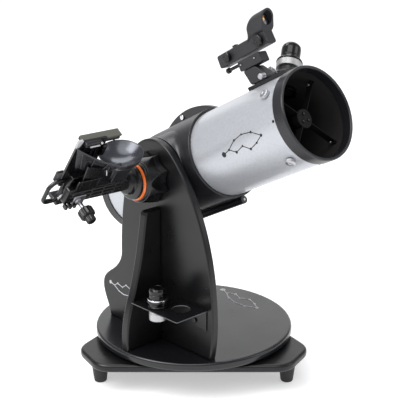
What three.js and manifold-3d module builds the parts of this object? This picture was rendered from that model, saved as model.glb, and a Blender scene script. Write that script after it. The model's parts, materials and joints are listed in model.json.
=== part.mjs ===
// A tabletop Newtonian telescope on a single-arm rocker mount.
//
// Millimetres, +Z up. While it is drawn, the origin is on the azimuth axis at the underside of the
// ground board; the last section moves it to the middle of the object's box, on the floor.
// The altitude axis runs along X. The arm stands on the -X side, and the open end of the tube
// points towards -Y, raised REST_ALTITUDE above the horizontal.

import * as THREE from 'three';
import { mergeVertices } from 'three/addons/utils/BufferGeometryUtils.js';
import { ConvexGeometry } from 'three/addons/geometries/ConvexGeometry.js';
import Module from 'manifold-3d';

const wasm = await Module();
wasm.setup();

// ---------------------------------------------------------------- driving dimensions

const GAP = 0.3;                 // clearance between pieces that touch
const deg = THREE.MathUtils.degToRad;

// ground board and turntable
const GROUND_THICKNESS = 16;
const GROUND_INRADIUS = 156;     // centre to the middle of a long side
const GROUND_CORNER = 233;       // centre to a cut corner
const GROUND_ROUNDING = 26;      // length of edge taken by each rounded corner
const GROUND_SHIFT = 5;          // pivot hole behind the centroid
const GROUND_TURN = deg(-43.75); // a long side faces this way from -Y
const FOOT_RADIUS = 207;         // azimuth axis to a foot
const FOOT_HEIGHT = 44;
const PAD_THICKNESS = 4;
const DISC_RADIUS = 195;
const DISC_THICKNESS = 16;
const DISC_TOP = GROUND_THICKNESS + PAD_THICKNESS + DISC_THICKNESS;

// arm
const AXIS_HEIGHT = 319.5;       // altitude axis above the turntable
const AXIS_Z = DISC_TOP + AXIS_HEIGHT;
const PANEL = 15;                // side board thickness
const ARM_INNER = -88.5;         // side board's face next to the tube
const ARM_OUTER = ARM_INNER - PANEL;
const ARM_TOP_RADIUS = 69.5;
const RIB_THICKNESS = 18;
const RIB_FRONT = -21;           // rib face that carries the eyepiece tray
const TRAY_Z = DISC_TOP + 96;
const TRAY_THICKNESS = 2;
const TRAY_REACH = 76.5;         // tray edge out from the side board
const TRAY_LENGTH = 126;
const TRAY_HOLE = 17;
const SPARE_SPOT = [-156, -69];  // eyepiece resting in the tray
const EMPTY_SPOT = [-134, -108]; // free hole of the tray

// altitude bearing
const SHAFT_RADIUS = 15.6;
const KNOB_RADIUS = 48;
const KNOB_LOBES = 8;
const KNOB_FACE = ARM_OUTER - 50;
const RING_RADIUS = 35.6;

// tube
const REST_ALTITUDE = deg(26.5);
const TUBE_X = 1.5;
const TUBE_RADIUS = 81;
const TUBE_WALL = 1.6;
const BORE = TUBE_RADIUS + GAP;  // inner radius of what fits round the tube
const TUBE_FRONT = 334;          // altitude axis to the front rim
const TUBE_REAR = -201;
const BAND = 23;                 // length of the front ring
const BAND_RADIUS = 82.8;
const SADDLE_CENTRE = 15;        // along the tube from the altitude axis
const SADDLE_LENGTH = 159;
const SADDLE_RADIUS = 86.4;
const PARTING_X = 18.5;          // tube centre to the clamp's parting plane
const SPIDER_AT = 295;
const SPIDER_ROLL = deg(41);
const MIRROR_RADIUS = 65;
const SECONDARY_RADIUS = 17;

// focuser and finder
const FOCUSER_AT = 240;
const FOCUSER_ROLL = deg(35);
const BASE_OUTER = 87.8;
const DRAWTUBE_RADIUS = 19.5;
const FINDER_HALF_WIDTH = 11;

// phone dock
const DOCK_TILT = deg(-53);

// ---------------------------------------------------------------- materials

function material(color, roughness, metalness = 0) {
  return new THREE.MeshStandardMaterial({ color, roughness, metalness });
}

const LAMINATE = material(0x2b2b2e, 0.55);
const DISC_LAMINATE = material(0x6a696e, 0.5);
const BLACK_PLASTIC = material(0x17171a, 0.5);
const GREY_PLASTIC = material(0x3a3a40, 0.55);
const RUBBER = material(0x1a1a1a, 0.85);
const PAD_RUBBER = material(0x77776c, 0.9);
const PTFE = material(0xe8e8e4, 0.6);
const SILVER_PAINT = material(0xc6cad2, 0.35, 0.4);
const MATT_BLACK = material(0x0e0e10, 0.9);
const STEEL = material(0xb8b8bc, 0.3, 1);
const CHROME = material(0xe0e0e4, 0.12, 1);
const ORANGE = material(0xf07a26, 0.4);
const MIRROR = material(0xd8dce2, 0.03, 1);
const COATED_GLASS = material(0x3a2c10, 0.1, 0.2);

// ---------------------------------------------------------------- solids

/** Bare closed geometry: positions only, shared vertices, faces pointing out. */
function closed(geometry) {
  const bare = geometry.clone();
  for (const name of Object.keys(bare.attributes)) {
    if (name !== 'position') bare.deleteAttribute(name);
  }
  const merged = mergeVertices(bare, 1e-4);
  const place = merged.attributes.position;
  const index = Array.from(merged.index.array);
  const kept = [];
  let volume = 0;
  const [a, b, c] = [new THREE.Vector3(), new THREE.Vector3(), new THREE.Vector3()];
  for (let i = 0; i < index.length; i += 3) {
    const [p, q, r] = index.slice(i, i + 3);
    if (p === q || q === r || r === p) continue;
    kept.push(p, q, r);
    a.fromBufferAttribute(place, p);
    b.fromBufferAttribute(place, q);
    c.fromBufferAttribute(place, r);
    volume += a.dot(b.cross(c));
  }
  if (volume < 0) {
    for (let i = 0; i < kept.length; i += 3) {
      [kept[i + 1], kept[i + 2]] = [kept[i + 2], kept[i + 1]];
    }
  }
  merged.setIndex(kept);
  return merged;
}

function toManifold(geometry) {
  const bare = closed(geometry);
  return new wasm.Manifold(new wasm.Mesh({
    numProp: 3,
    vertProperties: new Float32Array(bare.attributes.position.array),
    triVerts: new Uint32Array(bare.index.array),
  }));
}

function fromManifold(manifold) {
  const mesh = manifold.getMesh();
  const geometry = new THREE.BufferGeometry();
  geometry.setAttribute('position', new THREE.BufferAttribute(mesh.vertProperties, 3));
  geometry.setIndex(new THREE.BufferAttribute(mesh.triVerts, 1));
  return geometry;
}

const combine = (how) => (first, ...rest) => fromManifold(
  rest.map(toManifold).reduce((all, next) => all[how](next), toManifold(first)));
const join = combine('add');
const cut = combine('subtract');
const common = combine('intersect');

const AROUND_TUBE = 48;          // segments of everything that fits the tube

/** Solid of revolution about Z from [radius, z] points. */
function turned(points, segments = 28) {
  const profile = points.map(([r, z]) => new THREE.Vector2(r, z));
  const last = points.at(-1);
  if (points[0][0] > 0 || last[0] > 0) profile.push(profile[0].clone());
  return closed(new THREE.LatheGeometry(profile, segments).rotateX(Math.PI / 2));
}

/** Ring about Z. */
function ring(outer, inner, from, to, segments = 28) {
  return turned([[inner, from], [outer, from], [outer, to], [inner, to]], segments);
}

/** Cylinder about Z, with a chamfer at each end. */
function rod(radius, from, to, segments = 20, chamfer = 0) {
  const [r, c] = [radius, chamfer];
  const ends = c > 0
    ? [[0, from], [r - c, from], [r, from + c], [r, to - c], [r - c, to], [0, to]]
    : [[0, from], [r, from], [r, to], [0, to]];
  return turned(ends, segments);
}

/** Box between two corners. */
function block([x0, y0, z0], [x1, y1, z1]) {
  return new THREE.BoxGeometry(x1 - x0, y1 - y0, z1 - z0)
    .translate((x0 + x1) / 2, (y0 + y1) / 2, (z0 + z1) / 2);
}

/** Flat outline with rounded edges, from z = 0 to z = thickness. */
function panel(shape, thickness, edge = 0, curveSegments = 8) {
  const rounded = edge > 0;
  return closed(new THREE.ExtrudeGeometry(shape, {
    depth: thickness - 2 * edge,
    bevelEnabled: rounded,
    bevelThickness: edge,
    bevelSize: edge,
    bevelOffset: -edge,
    bevelSegments: 1,
    curveSegments,
  }).translate(0, 0, edge));
}

/** Polygon whose corners are rounded over a given length of edge, in a few steps each. */
function roundedPolygon(points, length, steps = 3) {
  const outline = points.flatMap((point, i) => {
    const [here, before, after] = [point, points.at(i - 1), points[(i + 1) % points.length]]
      .map(([x, y]) => new THREE.Vector2(x, y));
    const start = before.sub(here).setLength(length).add(here);
    const end = after.sub(here).setLength(length).add(here);
    return new THREE.QuadraticBezierCurve(start, here, end).getPoints(steps);
  });
  return new THREE.Shape(outline);
}

function circleHole(shape, x, y, radius) {
  shape.holes.push(new THREE.Path().absarc(x, y, radius, 0, 2 * Math.PI, true));
}

/** Turns a solid drawn about Z, or a panel drawn in XY, so that its axis or thickness lies along +X. */
const alongX = (geometry) => geometry.rotateX(Math.PI / 2).rotateZ(Math.PI / 2);

// ---------------------------------------------------------------- scene graph

const telescope = new THREE.Group();

function group(parent, [x, y, z] = [0, 0, 0], [rx, ry, rz] = [0, 0, 0]) {
  const made = new THREE.Group();
  made.position.set(x, y, z);
  made.rotation.set(rx, ry, rz);
  parent.add(made);
  return made;
}

function add(parent, name, geometry, finish, [x, y, z] = [0, 0, 0]) {
  const mesh = new THREE.Mesh(closed(geometry), finish.clone());
  mesh.name = name;
  mesh.position.set(x, y, z);
  parent.add(mesh);
  return mesh;
}

// ---------------------------------------------------------------- ground board

const ground = group(telescope, [0, 0, 0], [0, 0, GROUND_TURN]);
const CORNERS = [0, 1, 2].map((k) => deg(-30 + 120 * k));

function groundOutline() {
  const halfCut = (2 * GROUND_INRADIUS - GROUND_CORNER) * Math.tan(deg(30));
  const points = CORNERS.flatMap((angle) => [-halfCut, halfCut].map((side) => [
    GROUND_CORNER * Math.cos(angle) - side * Math.sin(angle),
    GROUND_CORNER * Math.sin(angle) + side * Math.cos(angle) - GROUND_SHIFT,
  ]));
  return roundedPolygon(points, GROUND_ROUNDING, 5);
}

const FLANGE_RADIUS = 12;
const FLANGE_THICKNESS = 3;
const PIVOT_RADIUS = 4;

function groundBoard() {
  const board = panel(groundOutline(), GROUND_THICKNESS, 4, 5);
  return cut(board,
    rod(PIVOT_RADIUS + GAP, -1, GROUND_THICKNESS + 1, 20),
    rod(FLANGE_RADIUS + GAP, -1, FLANGE_THICKNESS + GAP, 24));
}

add(ground, 'ground_board', groundBoard(), LAMINATE);

const footProfile = [[0, -FOOT_HEIGHT], [10.5, -FOOT_HEIGHT], [12, 2 - FOOT_HEIGHT],
  [13.5, 14 - FOOT_HEIGHT], [16.5, -4], [16.5, -GAP], [0, -GAP]];
CORNERS.forEach((angle, i) => {
  const [x, y] = [Math.cos(angle), Math.sin(angle)];
  add(ground, `foot_${i + 1}`, turned(footProfile, 20), RUBBER, [FOOT_RADIUS * x, FOOT_RADIUS * y, 0]);
});

add(ground, 'glide_ring', ring(110, 85, GROUND_THICKNESS + GAP, GROUND_THICKNESS + PAD_THICKNESS - GAP, 32), PTFE);

add(ground, 'pivot_bolt', turned([[0, 0], [FLANGE_RADIUS, 0], [FLANGE_RADIUS, FLANGE_THICKNESS],
  [PIVOT_RADIUS, FLANGE_THICKNESS], [PIVOT_RADIUS, DISC_TOP + 8], [0, DISC_TOP + 8]], 24), STEEL);
const nutBlank = turned([[0, GAP], [12, GAP], [12, 2], [7.5, 2.2], [7.5, 7.5], [0, 7.5]], 6);
add(ground, 'pivot_nut', cut(nutBlank, rod(PIVOT_RADIUS + GAP, -1, 9)), STEEL, [0, 0, DISC_TOP]);

// ---------------------------------------------------------------- turntable and arm

const rocker = group(telescope);

function turntable() {
  const [bottom, edge] = [DISC_TOP - DISC_THICKNESS, 3.5];
  const hole = PIVOT_RADIUS + 0.4;
  const soft = edge * 0.3;
  return turned([[hole, bottom], [DISC_RADIUS - edge, bottom], [DISC_RADIUS - soft, bottom + soft],
    [DISC_RADIUS, bottom + edge], [DISC_RADIUS, DISC_TOP - edge], [DISC_RADIUS - soft, DISC_TOP - soft],
    [DISC_RADIUS - edge, DISC_TOP], [hole, DISC_TOP]], 56);
}

add(rocker, 'turntable', turntable(), DISC_LAMINATE);

/** Side board seen from +X: x is the row's Y, y is height above the turntable. */
function sideOutline() {
  const shape = new THREE.Shape();
  shape.moveTo(138, GAP);
  shape.bezierCurveTo(140, 20, 158.5, 40, 158.5, 62);
  shape.bezierCurveTo(158.5, 80, 150, 87, 131, 100);
  shape.bezierCurveTo(108, 116, 98, 132, 98, 150);
  shape.bezierCurveTo(98, 230, 76, 333, 56, 360.6);
  shape.absarc(0, AXIS_HEIGHT, ARM_TOP_RADIUS, Math.atan2(41.1, 56), Math.atan2(48, -50.3), false);
  shape.bezierCurveTo(-112, 306, -159, 205, -159, 70);
  shape.bezierCurveTo(-159, 40, -155, 15, -152, GAP);
  shape.closePath();
  circleHole(shape, 0, AXIS_HEIGHT, SHAFT_RADIUS + 1);
  return shape;
}

add(rocker, 'side_board', alongX(panel(sideOutline(), PANEL, 1.5, 6)), LAMINATE, [ARM_OUTER, 0, DISC_TOP]);

/** Rib seen from -Y: x is the distance out from the side board, y is height above the turntable. */
function ribOutline() {
  const top = 262;
  const shape = new THREE.Shape();
  shape.moveTo(GAP, GAP);
  shape.lineTo(85, GAP);
  shape.bezierCurveTo(88, 30, 84, 60, 72, 95);
  shape.bezierCurveTo(56, 135, 45, 190, 36, top - 8);
  shape.quadraticCurveTo(34, top, 26, top);
  shape.lineTo(GAP, top);
  shape.closePath();
  return shape;
}

const rib = panel(ribOutline(), RIB_THICKNESS, 1.5, 8)
  .rotateX(Math.PI / 2)
  .rotateZ(Math.PI);
add(rocker, 'rib_board', rib, LAMINATE, [ARM_OUTER, RIB_FRONT, DISC_TOP]);

// ---------------------------------------------------------------- eyepiece tray

function eyepieceTray() {
  const [inner, back] = [ARM_OUTER - GAP, RIB_FRONT - GAP];
  const outline = roundedPolygon([[inner, back], [inner - TRAY_REACH, back],
    [inner - TRAY_REACH, back - TRAY_LENGTH], [inner, back - TRAY_LENGTH]], 3);
  [SPARE_SPOT, EMPTY_SPOT].forEach(([x, y]) => circleHole(outline, x, y, TRAY_HOLE));
  const plate = panel(outline, TRAY_THICKNESS, 0, 10).translate(0, 0, TRAY_Z);
  const lip = roundedPolygon([[-101, 1], [-101, -22], [-113, -36], [-144, -41], [-144, 1]], 3);
  const flange = alongX(panel(lip, TRAY_THICKNESS)).translate(inner - TRAY_THICKNESS, 0, TRAY_Z);
  return join(plate, flange);
}

add(rocker, 'eyepiece_tray', eyepieceTray(), BLACK_PLASTIC);
add(rocker, 'tray_screw', alongX(turned([[0, -6], [3.5, -6], [4.5, -4.5], [4.5, -2.7], [0, -2.7]], 16)),
  STEEL, [ARM_OUTER, -115, TRAY_Z - 26]);

const spareTop = TRAY_Z + TRAY_THICKNESS + GAP;
add(rocker, 'spare_barrel', turned([[13.6, -25], [15.9, -25], [15.9, -0.3], [0, -0.3], [0, -6], [13.6, -6]], 24),
  CHROME, [...SPARE_SPOT, spareTop]);
add(rocker, 'spare_body', turned([[0, 0], [18.5, 0], [18.5, 2], [17, 2.5], [17, 9], [19.8, 9.5],
  [19.8, 12.5], [18, 13.5], [18, 17.5], [15.5, 18], [15.5, 31], [13, 35], [7, 37.5], [0, 38]], 24),
  BLACK_PLASTIC, [...SPARE_SPOT, spareTop]);

// ---------------------------------------------------------------- tension knob

/** Lobed outline: a circle with a shallow scallop between each pair of lobes. */
function lobedOutline(radius, lobes, depth) {
  const steps = lobes * 6;
  const points = Array.from({ length: steps }, (_, i) => {
    const angle = (2 * Math.PI * i) / steps;
    const notch = Math.max(0, -Math.cos(lobes * angle)) ** 3;
    const r = radius - depth * notch;
    return new THREE.Vector2(r * Math.cos(angle), r * Math.sin(angle));
  });
  return new THREE.Shape(points);
}

const KNOB_BODY = 39;            // length of the lobed part
const KNOB_BORE = SHAFT_RADIUS + GAP;
const RING_SEAT = 32.4;

function tensionKnob() {
  const grip = panel(lobedOutline(KNOB_RADIUS, KNOB_LOBES, 5), KNOB_BODY, 3).translate(0, 0, -KNOB_BODY - GAP);
  const shoulder = turned([[0, -KNOB_BODY + 2], [41, -KNOB_BODY + 2], [41, -KNOB_BODY - 2], [37.5, -46],
    [RING_SEAT, -46], [RING_SEAT, -50], [0, -50]], 32);
  return cut(join(grip, shoulder), rod(KNOB_BORE, -60, 10, 32));
}

add(rocker, 'tension_knob', alongX(tensionKnob()), BLACK_PLASTIC, [ARM_OUTER, 0, AXIS_Z]);
const ringProfile = [[RING_SEAT + GAP, -50.5], [RING_RADIUS - 1, -50.5], [RING_RADIUS, -49.5],
  [RING_RADIUS + 1, -46.3], [RING_SEAT + GAP, -46.3]];
add(rocker, 'knob_ring', alongX(turned(ringProfile, 32)), ORANGE, [ARM_OUTER, 0, AXIS_Z]);

// ---------------------------------------------------------------- altitude shaft and tube clamp

const pivot = group(telescope, [0, 0, AXIS_Z]);
const SADDLE_FACE = ARM_INNER + 2.2;   // saddle's flat face on the arm side

add(pivot, 'altitude_shaft', alongX(rod(SHAFT_RADIUS, KNOB_FACE - 6, SADDLE_FACE - GAP, 32, 0.8)), STEEL);
add(pivot, 'bearing_washer', alongX(ring(58, SHAFT_RADIUS + GAP, ARM_INNER + GAP, SADDLE_FACE - GAP)), PTFE);

// In this group z runs along the tube to its open end and y is the tube's upper side.
const tube = group(pivot, [0, 0, 0], [Math.PI / 2 - REST_ALTITUDE, 0, 0]);

const SADDLE_FROM = SADDLE_CENTRE - SADDLE_LENGTH / 2;
const SADDLE_TO = SADDLE_CENTRE + SADDLE_LENGTH / 2;
const FLANGE_ARC = 150;          // radius of the crescent flange
const FLANGE_PEAK = 107;
const HINGE_RADIUS = 7.5;
const HINGE_Y = -92.6;
const HINGE_X = 6.5;
const PIN_RADIUS = 2.6;

const tubeBore = () => rod(BORE, SADDLE_FROM - 20, SADDLE_TO + 20, AROUND_TUBE).translate(TUBE_X, 0, 0);

/** Crescent that stands on top of the tube, in the plane across X. */
function crescent(fromX, toX) {
  const half = Math.asin(SADDLE_LENGTH / 2 / FLANGE_ARC);
  const shape = new THREE.Shape();
  shape.moveTo(SADDLE_FROM, 78);
  shape.lineTo(SADDLE_TO, 78);
  shape.absarc(SADDLE_CENTRE, FLANGE_PEAK - FLANGE_ARC, FLANGE_ARC, Math.PI / 2 - half, Math.PI / 2 + half, false);
  shape.closePath();
  // drawn with x along the tube and y up: turn it so that the thickness lies along X
  return panel(shape, toX - fromX, 0, 14)
    .rotateY(-Math.PI / 2)
    .translate(toX, 0, 0);
}

function saddle() {
  const points = [];
  const hub = 69;
  for (let i = 0; i < 40; i += 1) {
    const a = (2 * Math.PI * i) / 40;
    points.push(new THREE.Vector3(SADDLE_FACE, hub * Math.cos(a), hub * Math.sin(a)));
  }
  const reach = PARTING_X / SADDLE_RADIUS;
  for (let i = 0; i <= 24; i += 1) {
    const a = Math.PI / 2 - Math.asin(reach) + ((Math.PI + 2 * Math.asin(reach)) * i) / 24;
    for (const z of [SADDLE_FROM, SADDLE_TO]) {
      points.push(new THREE.Vector3(TUBE_X + SADDLE_RADIUS * Math.cos(a), SADDLE_RADIUS * Math.sin(a), z));
    }
  }
  const body = new ConvexGeometry(points);
  const flange = crescent(PARTING_X + TUBE_X - 5, PARTING_X + TUBE_X);
  const barrel = rod(HINGE_RADIUS, SADDLE_FROM, SADDLE_TO + 3, 20, 1).translate(HINGE_X, HINGE_Y, 0);
  const web = block([HINGE_X - 7, -92, SADDLE_FROM], [HINGE_X + 7, -78, SADDLE_TO]);
  const pinHole = rod(PIN_RADIUS + GAP, SADDLE_FROM - 1, SADDLE_TO + 5, 16).translate(HINGE_X, HINGE_Y, 0);
  const bolt = alongX(rod(3.4, 0, 40, 16)).translate(0, 97, -3);
  return cut(join(body, flange, barrel, web), tubeBore(), pinHole, bolt);
}

function clampHalf() {
  const start = PARTING_X + TUBE_X + GAP;
  const shell = rod(SADDLE_RADIUS, SADDLE_FROM, SADDLE_TO, AROUND_TUBE).translate(TUBE_X, 0, 0);
  const half = common(shell, block([start, -100, SADDLE_FROM - 1], [100, 100, SADDLE_TO + 1]));
  const bolt = alongX(rod(3.4, 0, 40, 16)).translate(0, 97, -3);
  return cut(join(half, crescent(start, start + 5)), tubeBore(), bolt);
}

add(tube, 'saddle', saddle(), GREY_PLASTIC);
add(tube, 'clamp_half', clampHalf(), GREY_PLASTIC);
add(tube, 'clamp_pin', rod(PIN_RADIUS, SADDLE_FROM, SADDLE_TO + 4, 16).translate(HINGE_X, HINGE_Y, 0), STEEL);
const clampBolt = turned([[0, 0], [5, 0], [5, 3], [3.1, 3.2], [3.1, 20], [0, 20]], 20);
add(tube, 'clamp_bolt', alongX(clampBolt), CHROME, [PARTING_X + TUBE_X - 5 - 3.5, 97, -3]);

// ---------------------------------------------------------------- optical tube

const optics = group(tube, [TUBE_X, 0, 0]);

/** A group on the tube's wall: z points out, y points back along the tube. */
function onWall(at, roll) {
  const turn = group(optics, [0, 0, at], [0, 0, -roll]);
  return group(turn, [0, 0, 0], [-Math.PI / 2, 0, 0]);
}

/** A solid drawn on the wall frame, moved into the optics frame. */
function fromWall(geometry, at, roll) {
  return geometry.rotateX(-Math.PI / 2).rotateZ(-roll).translate(0, 0, at);
}

function tubeShell() {
  const [from, to] = [TUBE_REAR + 5, TUBE_FRONT - 3];
  const shell = ring(TUBE_RADIUS, TUBE_RADIUS - TUBE_WALL, from, to, AROUND_TUBE);
  return cut(shell, fromWall(rod(24, 60, 100, 24), FOCUSER_AT, FOCUSER_ROLL));
}

function frontRing() {
  const [from, inner] = [TUBE_FRONT - BAND, TUBE_RADIUS - TUBE_WALL - GAP];
  return turned([[BORE, from], [BAND_RADIUS - 0.5, from], [BAND_RADIUS, from + 1],
    [BAND_RADIUS, TUBE_FRONT - 1.5], [BAND_RADIUS - 1.5, TUBE_FRONT], [77.4, TUBE_FRONT],
    [77.4, from + 4], [inner, from + 4], [inner, TUBE_FRONT - 2.7], [BORE, TUBE_FRONT - 2.7]], AROUND_TUBE);
}

function rearCell() {
  const [end, to] = [TUBE_REAR, TUBE_REAR + 21];
  const cup = turned([[20, end], [BAND_RADIUS - 2, end], [BAND_RADIUS, end + 2], [BAND_RADIUS, to - 0.7],
    [BAND_RADIUS - 0.7, to], [BORE, to], [BORE, end + 4.7], [20, end + 4.7]], AROUND_TUBE);
  const screwHoles = [0, 1, 2].map((k) => rod(3.2, end - 1, end + 8, 12)
    .translate(0, 52, 0).rotateZ(deg(120 * k)));
  return cut(cup, ...screwHoles);
}

function mirrorCell() {
  const from = TUBE_REAR + 12;
  return turned([[0, from], [68, from], [68, from + 9], [MIRROR_RADIUS + 0.5, from + 9],
    [MIRROR_RADIUS + 0.5, from + 4], [0, from + 4]], 36);
}

function primaryMirror() {
  const [from, thick, sag] = [TUBE_REAR + 16.3, 16, 1.6];
  return turned([[0, from], [MIRROR_RADIUS, from], [MIRROR_RADIUS, from + thick], [43, from + thick - sag * 0.55],
    [22, from + thick - sag * 0.9], [0, from + thick - sag]], 36);
}

add(optics, 'tube', tubeShell(), SILVER_PAINT);
add(optics, 'front_ring', frontRing(), GREY_PLASTIC);
add(optics, 'rear_cell', rearCell(), GREY_PLASTIC);
add(optics, 'mirror_cell', mirrorCell(), BLACK_PLASTIC);
add(optics, 'primary_mirror', primaryMirror(), MIRROR);

const collimator = turned([[0, TUBE_REAR - 13], [6.5, TUBE_REAR - 13], [8, TUBE_REAR - 11.5],
  [8, TUBE_REAR - 3], [5, TUBE_REAR - GAP], [2.8, TUBE_REAR - GAP], [2.8, TUBE_REAR + 11.6],
  [0, TUBE_REAR + 11.6]], 14).translate(0, 52, 0);
for (let k = 0; k < 3; k += 1) {
  add(optics, `collimation_knob_${k + 1}`, collimator.clone().rotateZ(deg(120 * k)), BLACK_PLASTIC);
}

// ---------------------------------------------------------------- secondary mirror and its spider

const VANE_DEPTH = 14;
const HUB_RADIUS = 15;
const SPIDER_NUT_AT = SPIDER_AT - 4;
const SPIDER_NUT_RADIUS = 8.8;

function spider() {
  const reach = TUBE_RADIUS - TUBE_WALL - GAP;
  const hub = rod(HUB_RADIUS, SPIDER_AT - VANE_DEPTH / 2, SPIDER_AT + VANE_DEPTH / 2, 28, 1);
  const vanes = [0, 1, 2, 3].map((k) => block([-0.6, 8, SPIDER_AT - VANE_DEPTH / 2],
    [0.6, reach - 0.3, SPIDER_AT + VANE_DEPTH / 2]).rotateZ(-SPIDER_ROLL - k * Math.PI / 2));
  return join(hub, ...vanes);
}

/** Turned solid cut along the diagonal that faces the focuser, on one side or the other. */
function diagonal(offset, thickness) {
  return block([-60, -60, offset], [60, 60, offset + thickness])
    .rotateX(deg(45))
    .rotateZ(-FOCUSER_ROLL)
    .translate(0, 0, FOCUSER_AT);
}

add(optics, 'spider', spider(), MATT_BLACK);
add(optics, 'secondary_holder',
  common(rod(16, FOCUSER_AT - 40, SPIDER_AT - VANE_DEPTH / 2 - GAP, 28), diagonal(5 + GAP, 100)), BLACK_PLASTIC);
add(optics, 'secondary_mirror',
  common(rod(SECONDARY_RADIUS, FOCUSER_AT - 40, FOCUSER_AT + 40, 40), diagonal(0, 5)), MIRROR);

for (let k = 0; k < 4; k += 1) {
  const nut = turned([[0, BORE], [7.8, BORE], [SPIDER_NUT_RADIUS, BORE + 1], [SPIDER_NUT_RADIUS, BORE + 6],
    [7.6, BORE + 7.4], [0, BORE + 7.4]], 20);
  add(onWall(SPIDER_NUT_AT, SPIDER_ROLL + k * Math.PI / 2), `spider_nut_${k + 1}`, nut, CHROME);
}

// ---------------------------------------------------------------- focuser

const BASE_FROM = 213;
const BASE_TO = 307;

/** Part of a ring between two rolls, along a stretch of the tube. */
function curvedPlate(inner, outer, fromRoll, toRoll, from, to) {
  const shape = new THREE.Shape();
  shape.absarc(0, 0, outer, Math.PI / 2 - fromRoll, Math.PI / 2 - toRoll, true);
  shape.absarc(0, 0, inner, Math.PI / 2 - toRoll, Math.PI / 2 - fromRoll, false);
  shape.closePath();
  return panel(shape, to - from, 0, 12).translate(0, 0, from);
}

const AXLE_Y = 23;               // pinion axle behind the drawtube's centre
const AXLE_Z = 99;               // pinion axle out from the tube's centre
const AXLE_RADIUS = 2.5;
const DRAW_BORE = DRAWTUBE_RADIUS + GAP;
const LOCK_Z = 101;
const LOCK_SHANK = 2.2;

function focuserBase() {
  const plate = curvedPlate(BORE, BASE_OUTER, deg(-11), deg(78), BASE_FROM, BASE_TO);
  const boss = turned([[0, 70], [29, 70], [29, 92], [25, 95], [24.5, 109], [0, 109]], 32);
  const housing = block([-13, 12, 80], [13, 31, 107]);
  const body = join(plate, fromWall(join(boss, housing), FOCUSER_AT, FOCUSER_ROLL));
  const bore = rod(DRAW_BORE, 50, 120, 32);
  const axle = alongX(rod(AXLE_RADIUS + GAP, -20, 20, 16)).translate(0, AXLE_Y, AXLE_Z);
  const lock = alongX(rod(LOCK_SHANK + GAP, -40, -10, 12)).translate(0, 0, LOCK_Z);
  const inside = rod(BORE, BASE_FROM - 40, BASE_TO + 40, AROUND_TUBE);
  const nutPocket = fromWall(rod(SPIDER_NUT_RADIUS + GAP, 60, 100, 24), SPIDER_NUT_AT, SPIDER_ROLL);
  return cut(body, inside, nutPocket, fromWall(join(bore, axle), FOCUSER_AT, FOCUSER_ROLL),
    fromWall(lock, FOCUSER_AT, FOCUSER_ROLL));
}

add(optics, 'focuser_base', focuserBase(), BLACK_PLASTIC);

const focuser = onWall(FOCUSER_AT, FOCUSER_ROLL);
add(focuser, 'drawtube', ring(DRAWTUBE_RADIUS, 16.5, 72, 123.7, 32), BLACK_PLASTIC);
add(focuser, 'drawtube_collar', turned([[16.2, 124], [21.6, 124], [22.6, 125], [22.6, 133], [16.2, 133]], 32),
  CHROME);
add(focuser, 'eyepiece_clamp', turned([[16.2, 133.3], [23.8, 133.3], [23.8, 135.5], [22, 139], [18.5, 142],
  [16.2, 142]], 32), BLACK_PLASTIC);
add(focuser, 'eyepiece', turned([[13.5, 110], [15.8, 110], [15.8, 142.3], [17.4, 142.3], [17.4, 163], [16, 169],
  [12.5, 173], [7, 175], [0, 175], [0, 146], [13.5, 146]], 28), BLACK_PLASTIC);

function focusKnobs() {
  const half = alongX(turned([[0, 0], [AXLE_RADIUS, 0], [AXLE_RADIUS, 28], [8, 28.5], [9, 30], [9, 41], [7.5, 43],
    [0, 43]], 20));
  return join(half, half.clone().rotateZ(Math.PI)).translate(0, AXLE_Y, AXLE_Z);
}

const lockScrew = turned([[0, -43], [5, -43], [5.6, -42], [5.6, -33], [3.4, -31], [3.4, -28], [LOCK_SHANK, -27.5],
  [LOCK_SHANK, -DRAW_BORE], [0, -DRAW_BORE]], 16);
add(focuser, 'drawtube_lock_screw', alongX(lockScrew), STEEL, [0, 0, LOCK_Z]);

add(focuser, 'focus_knobs', focusKnobs(), STEEL);

// ---------------------------------------------------------------- red dot finder

/** Panel drawn with x along the tube and y outwards, standing between two X places. */
function sidePanel(shape, fromX, toX, edge = 0) {
  return panel(shape, toX - fromX, edge, 10).rotateY(-Math.PI / 2).translate(toX, 0, 0);
}

const stalkOutline = roundedPolygon([[219, BASE_OUTER + GAP], [268, BASE_OUTER + GAP], [247, 117.2],
  [210, 117.2]], 4);
add(optics, 'finder_stalk', sidePanel(stalkOutline, -11, 11, 1), GREY_PLASTIC);

const shoeOutline = roundedPolygon([[206, 117.5], [262, 117.5], [260, 136], [205, 136]], 3);
add(optics, 'finder_shoe', sidePanel(shoeOutline, -13, 8, 1), GREY_PLASTIC);
add(optics, 'finder_tilt_screw', turned([[0, 165], [5, 165], [5, 171], [3, 172], [3, 204.7], [0, 204.7]], 16),
  STEEL, [0, 132.5, 0]);
add(optics, 'bracket_screw', alongX(turned([[0, -25], [4.5, -25], [5.5, -24], [5.5, -13], [3, -12], [3, -11.4],
  [0, -11.4]], 16)), STEEL, [0, 93, 257]);

const HOOD_Y = 183;
const HOOD_BORE = 11.5;
const HOOD_RADIUS = 15;

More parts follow.
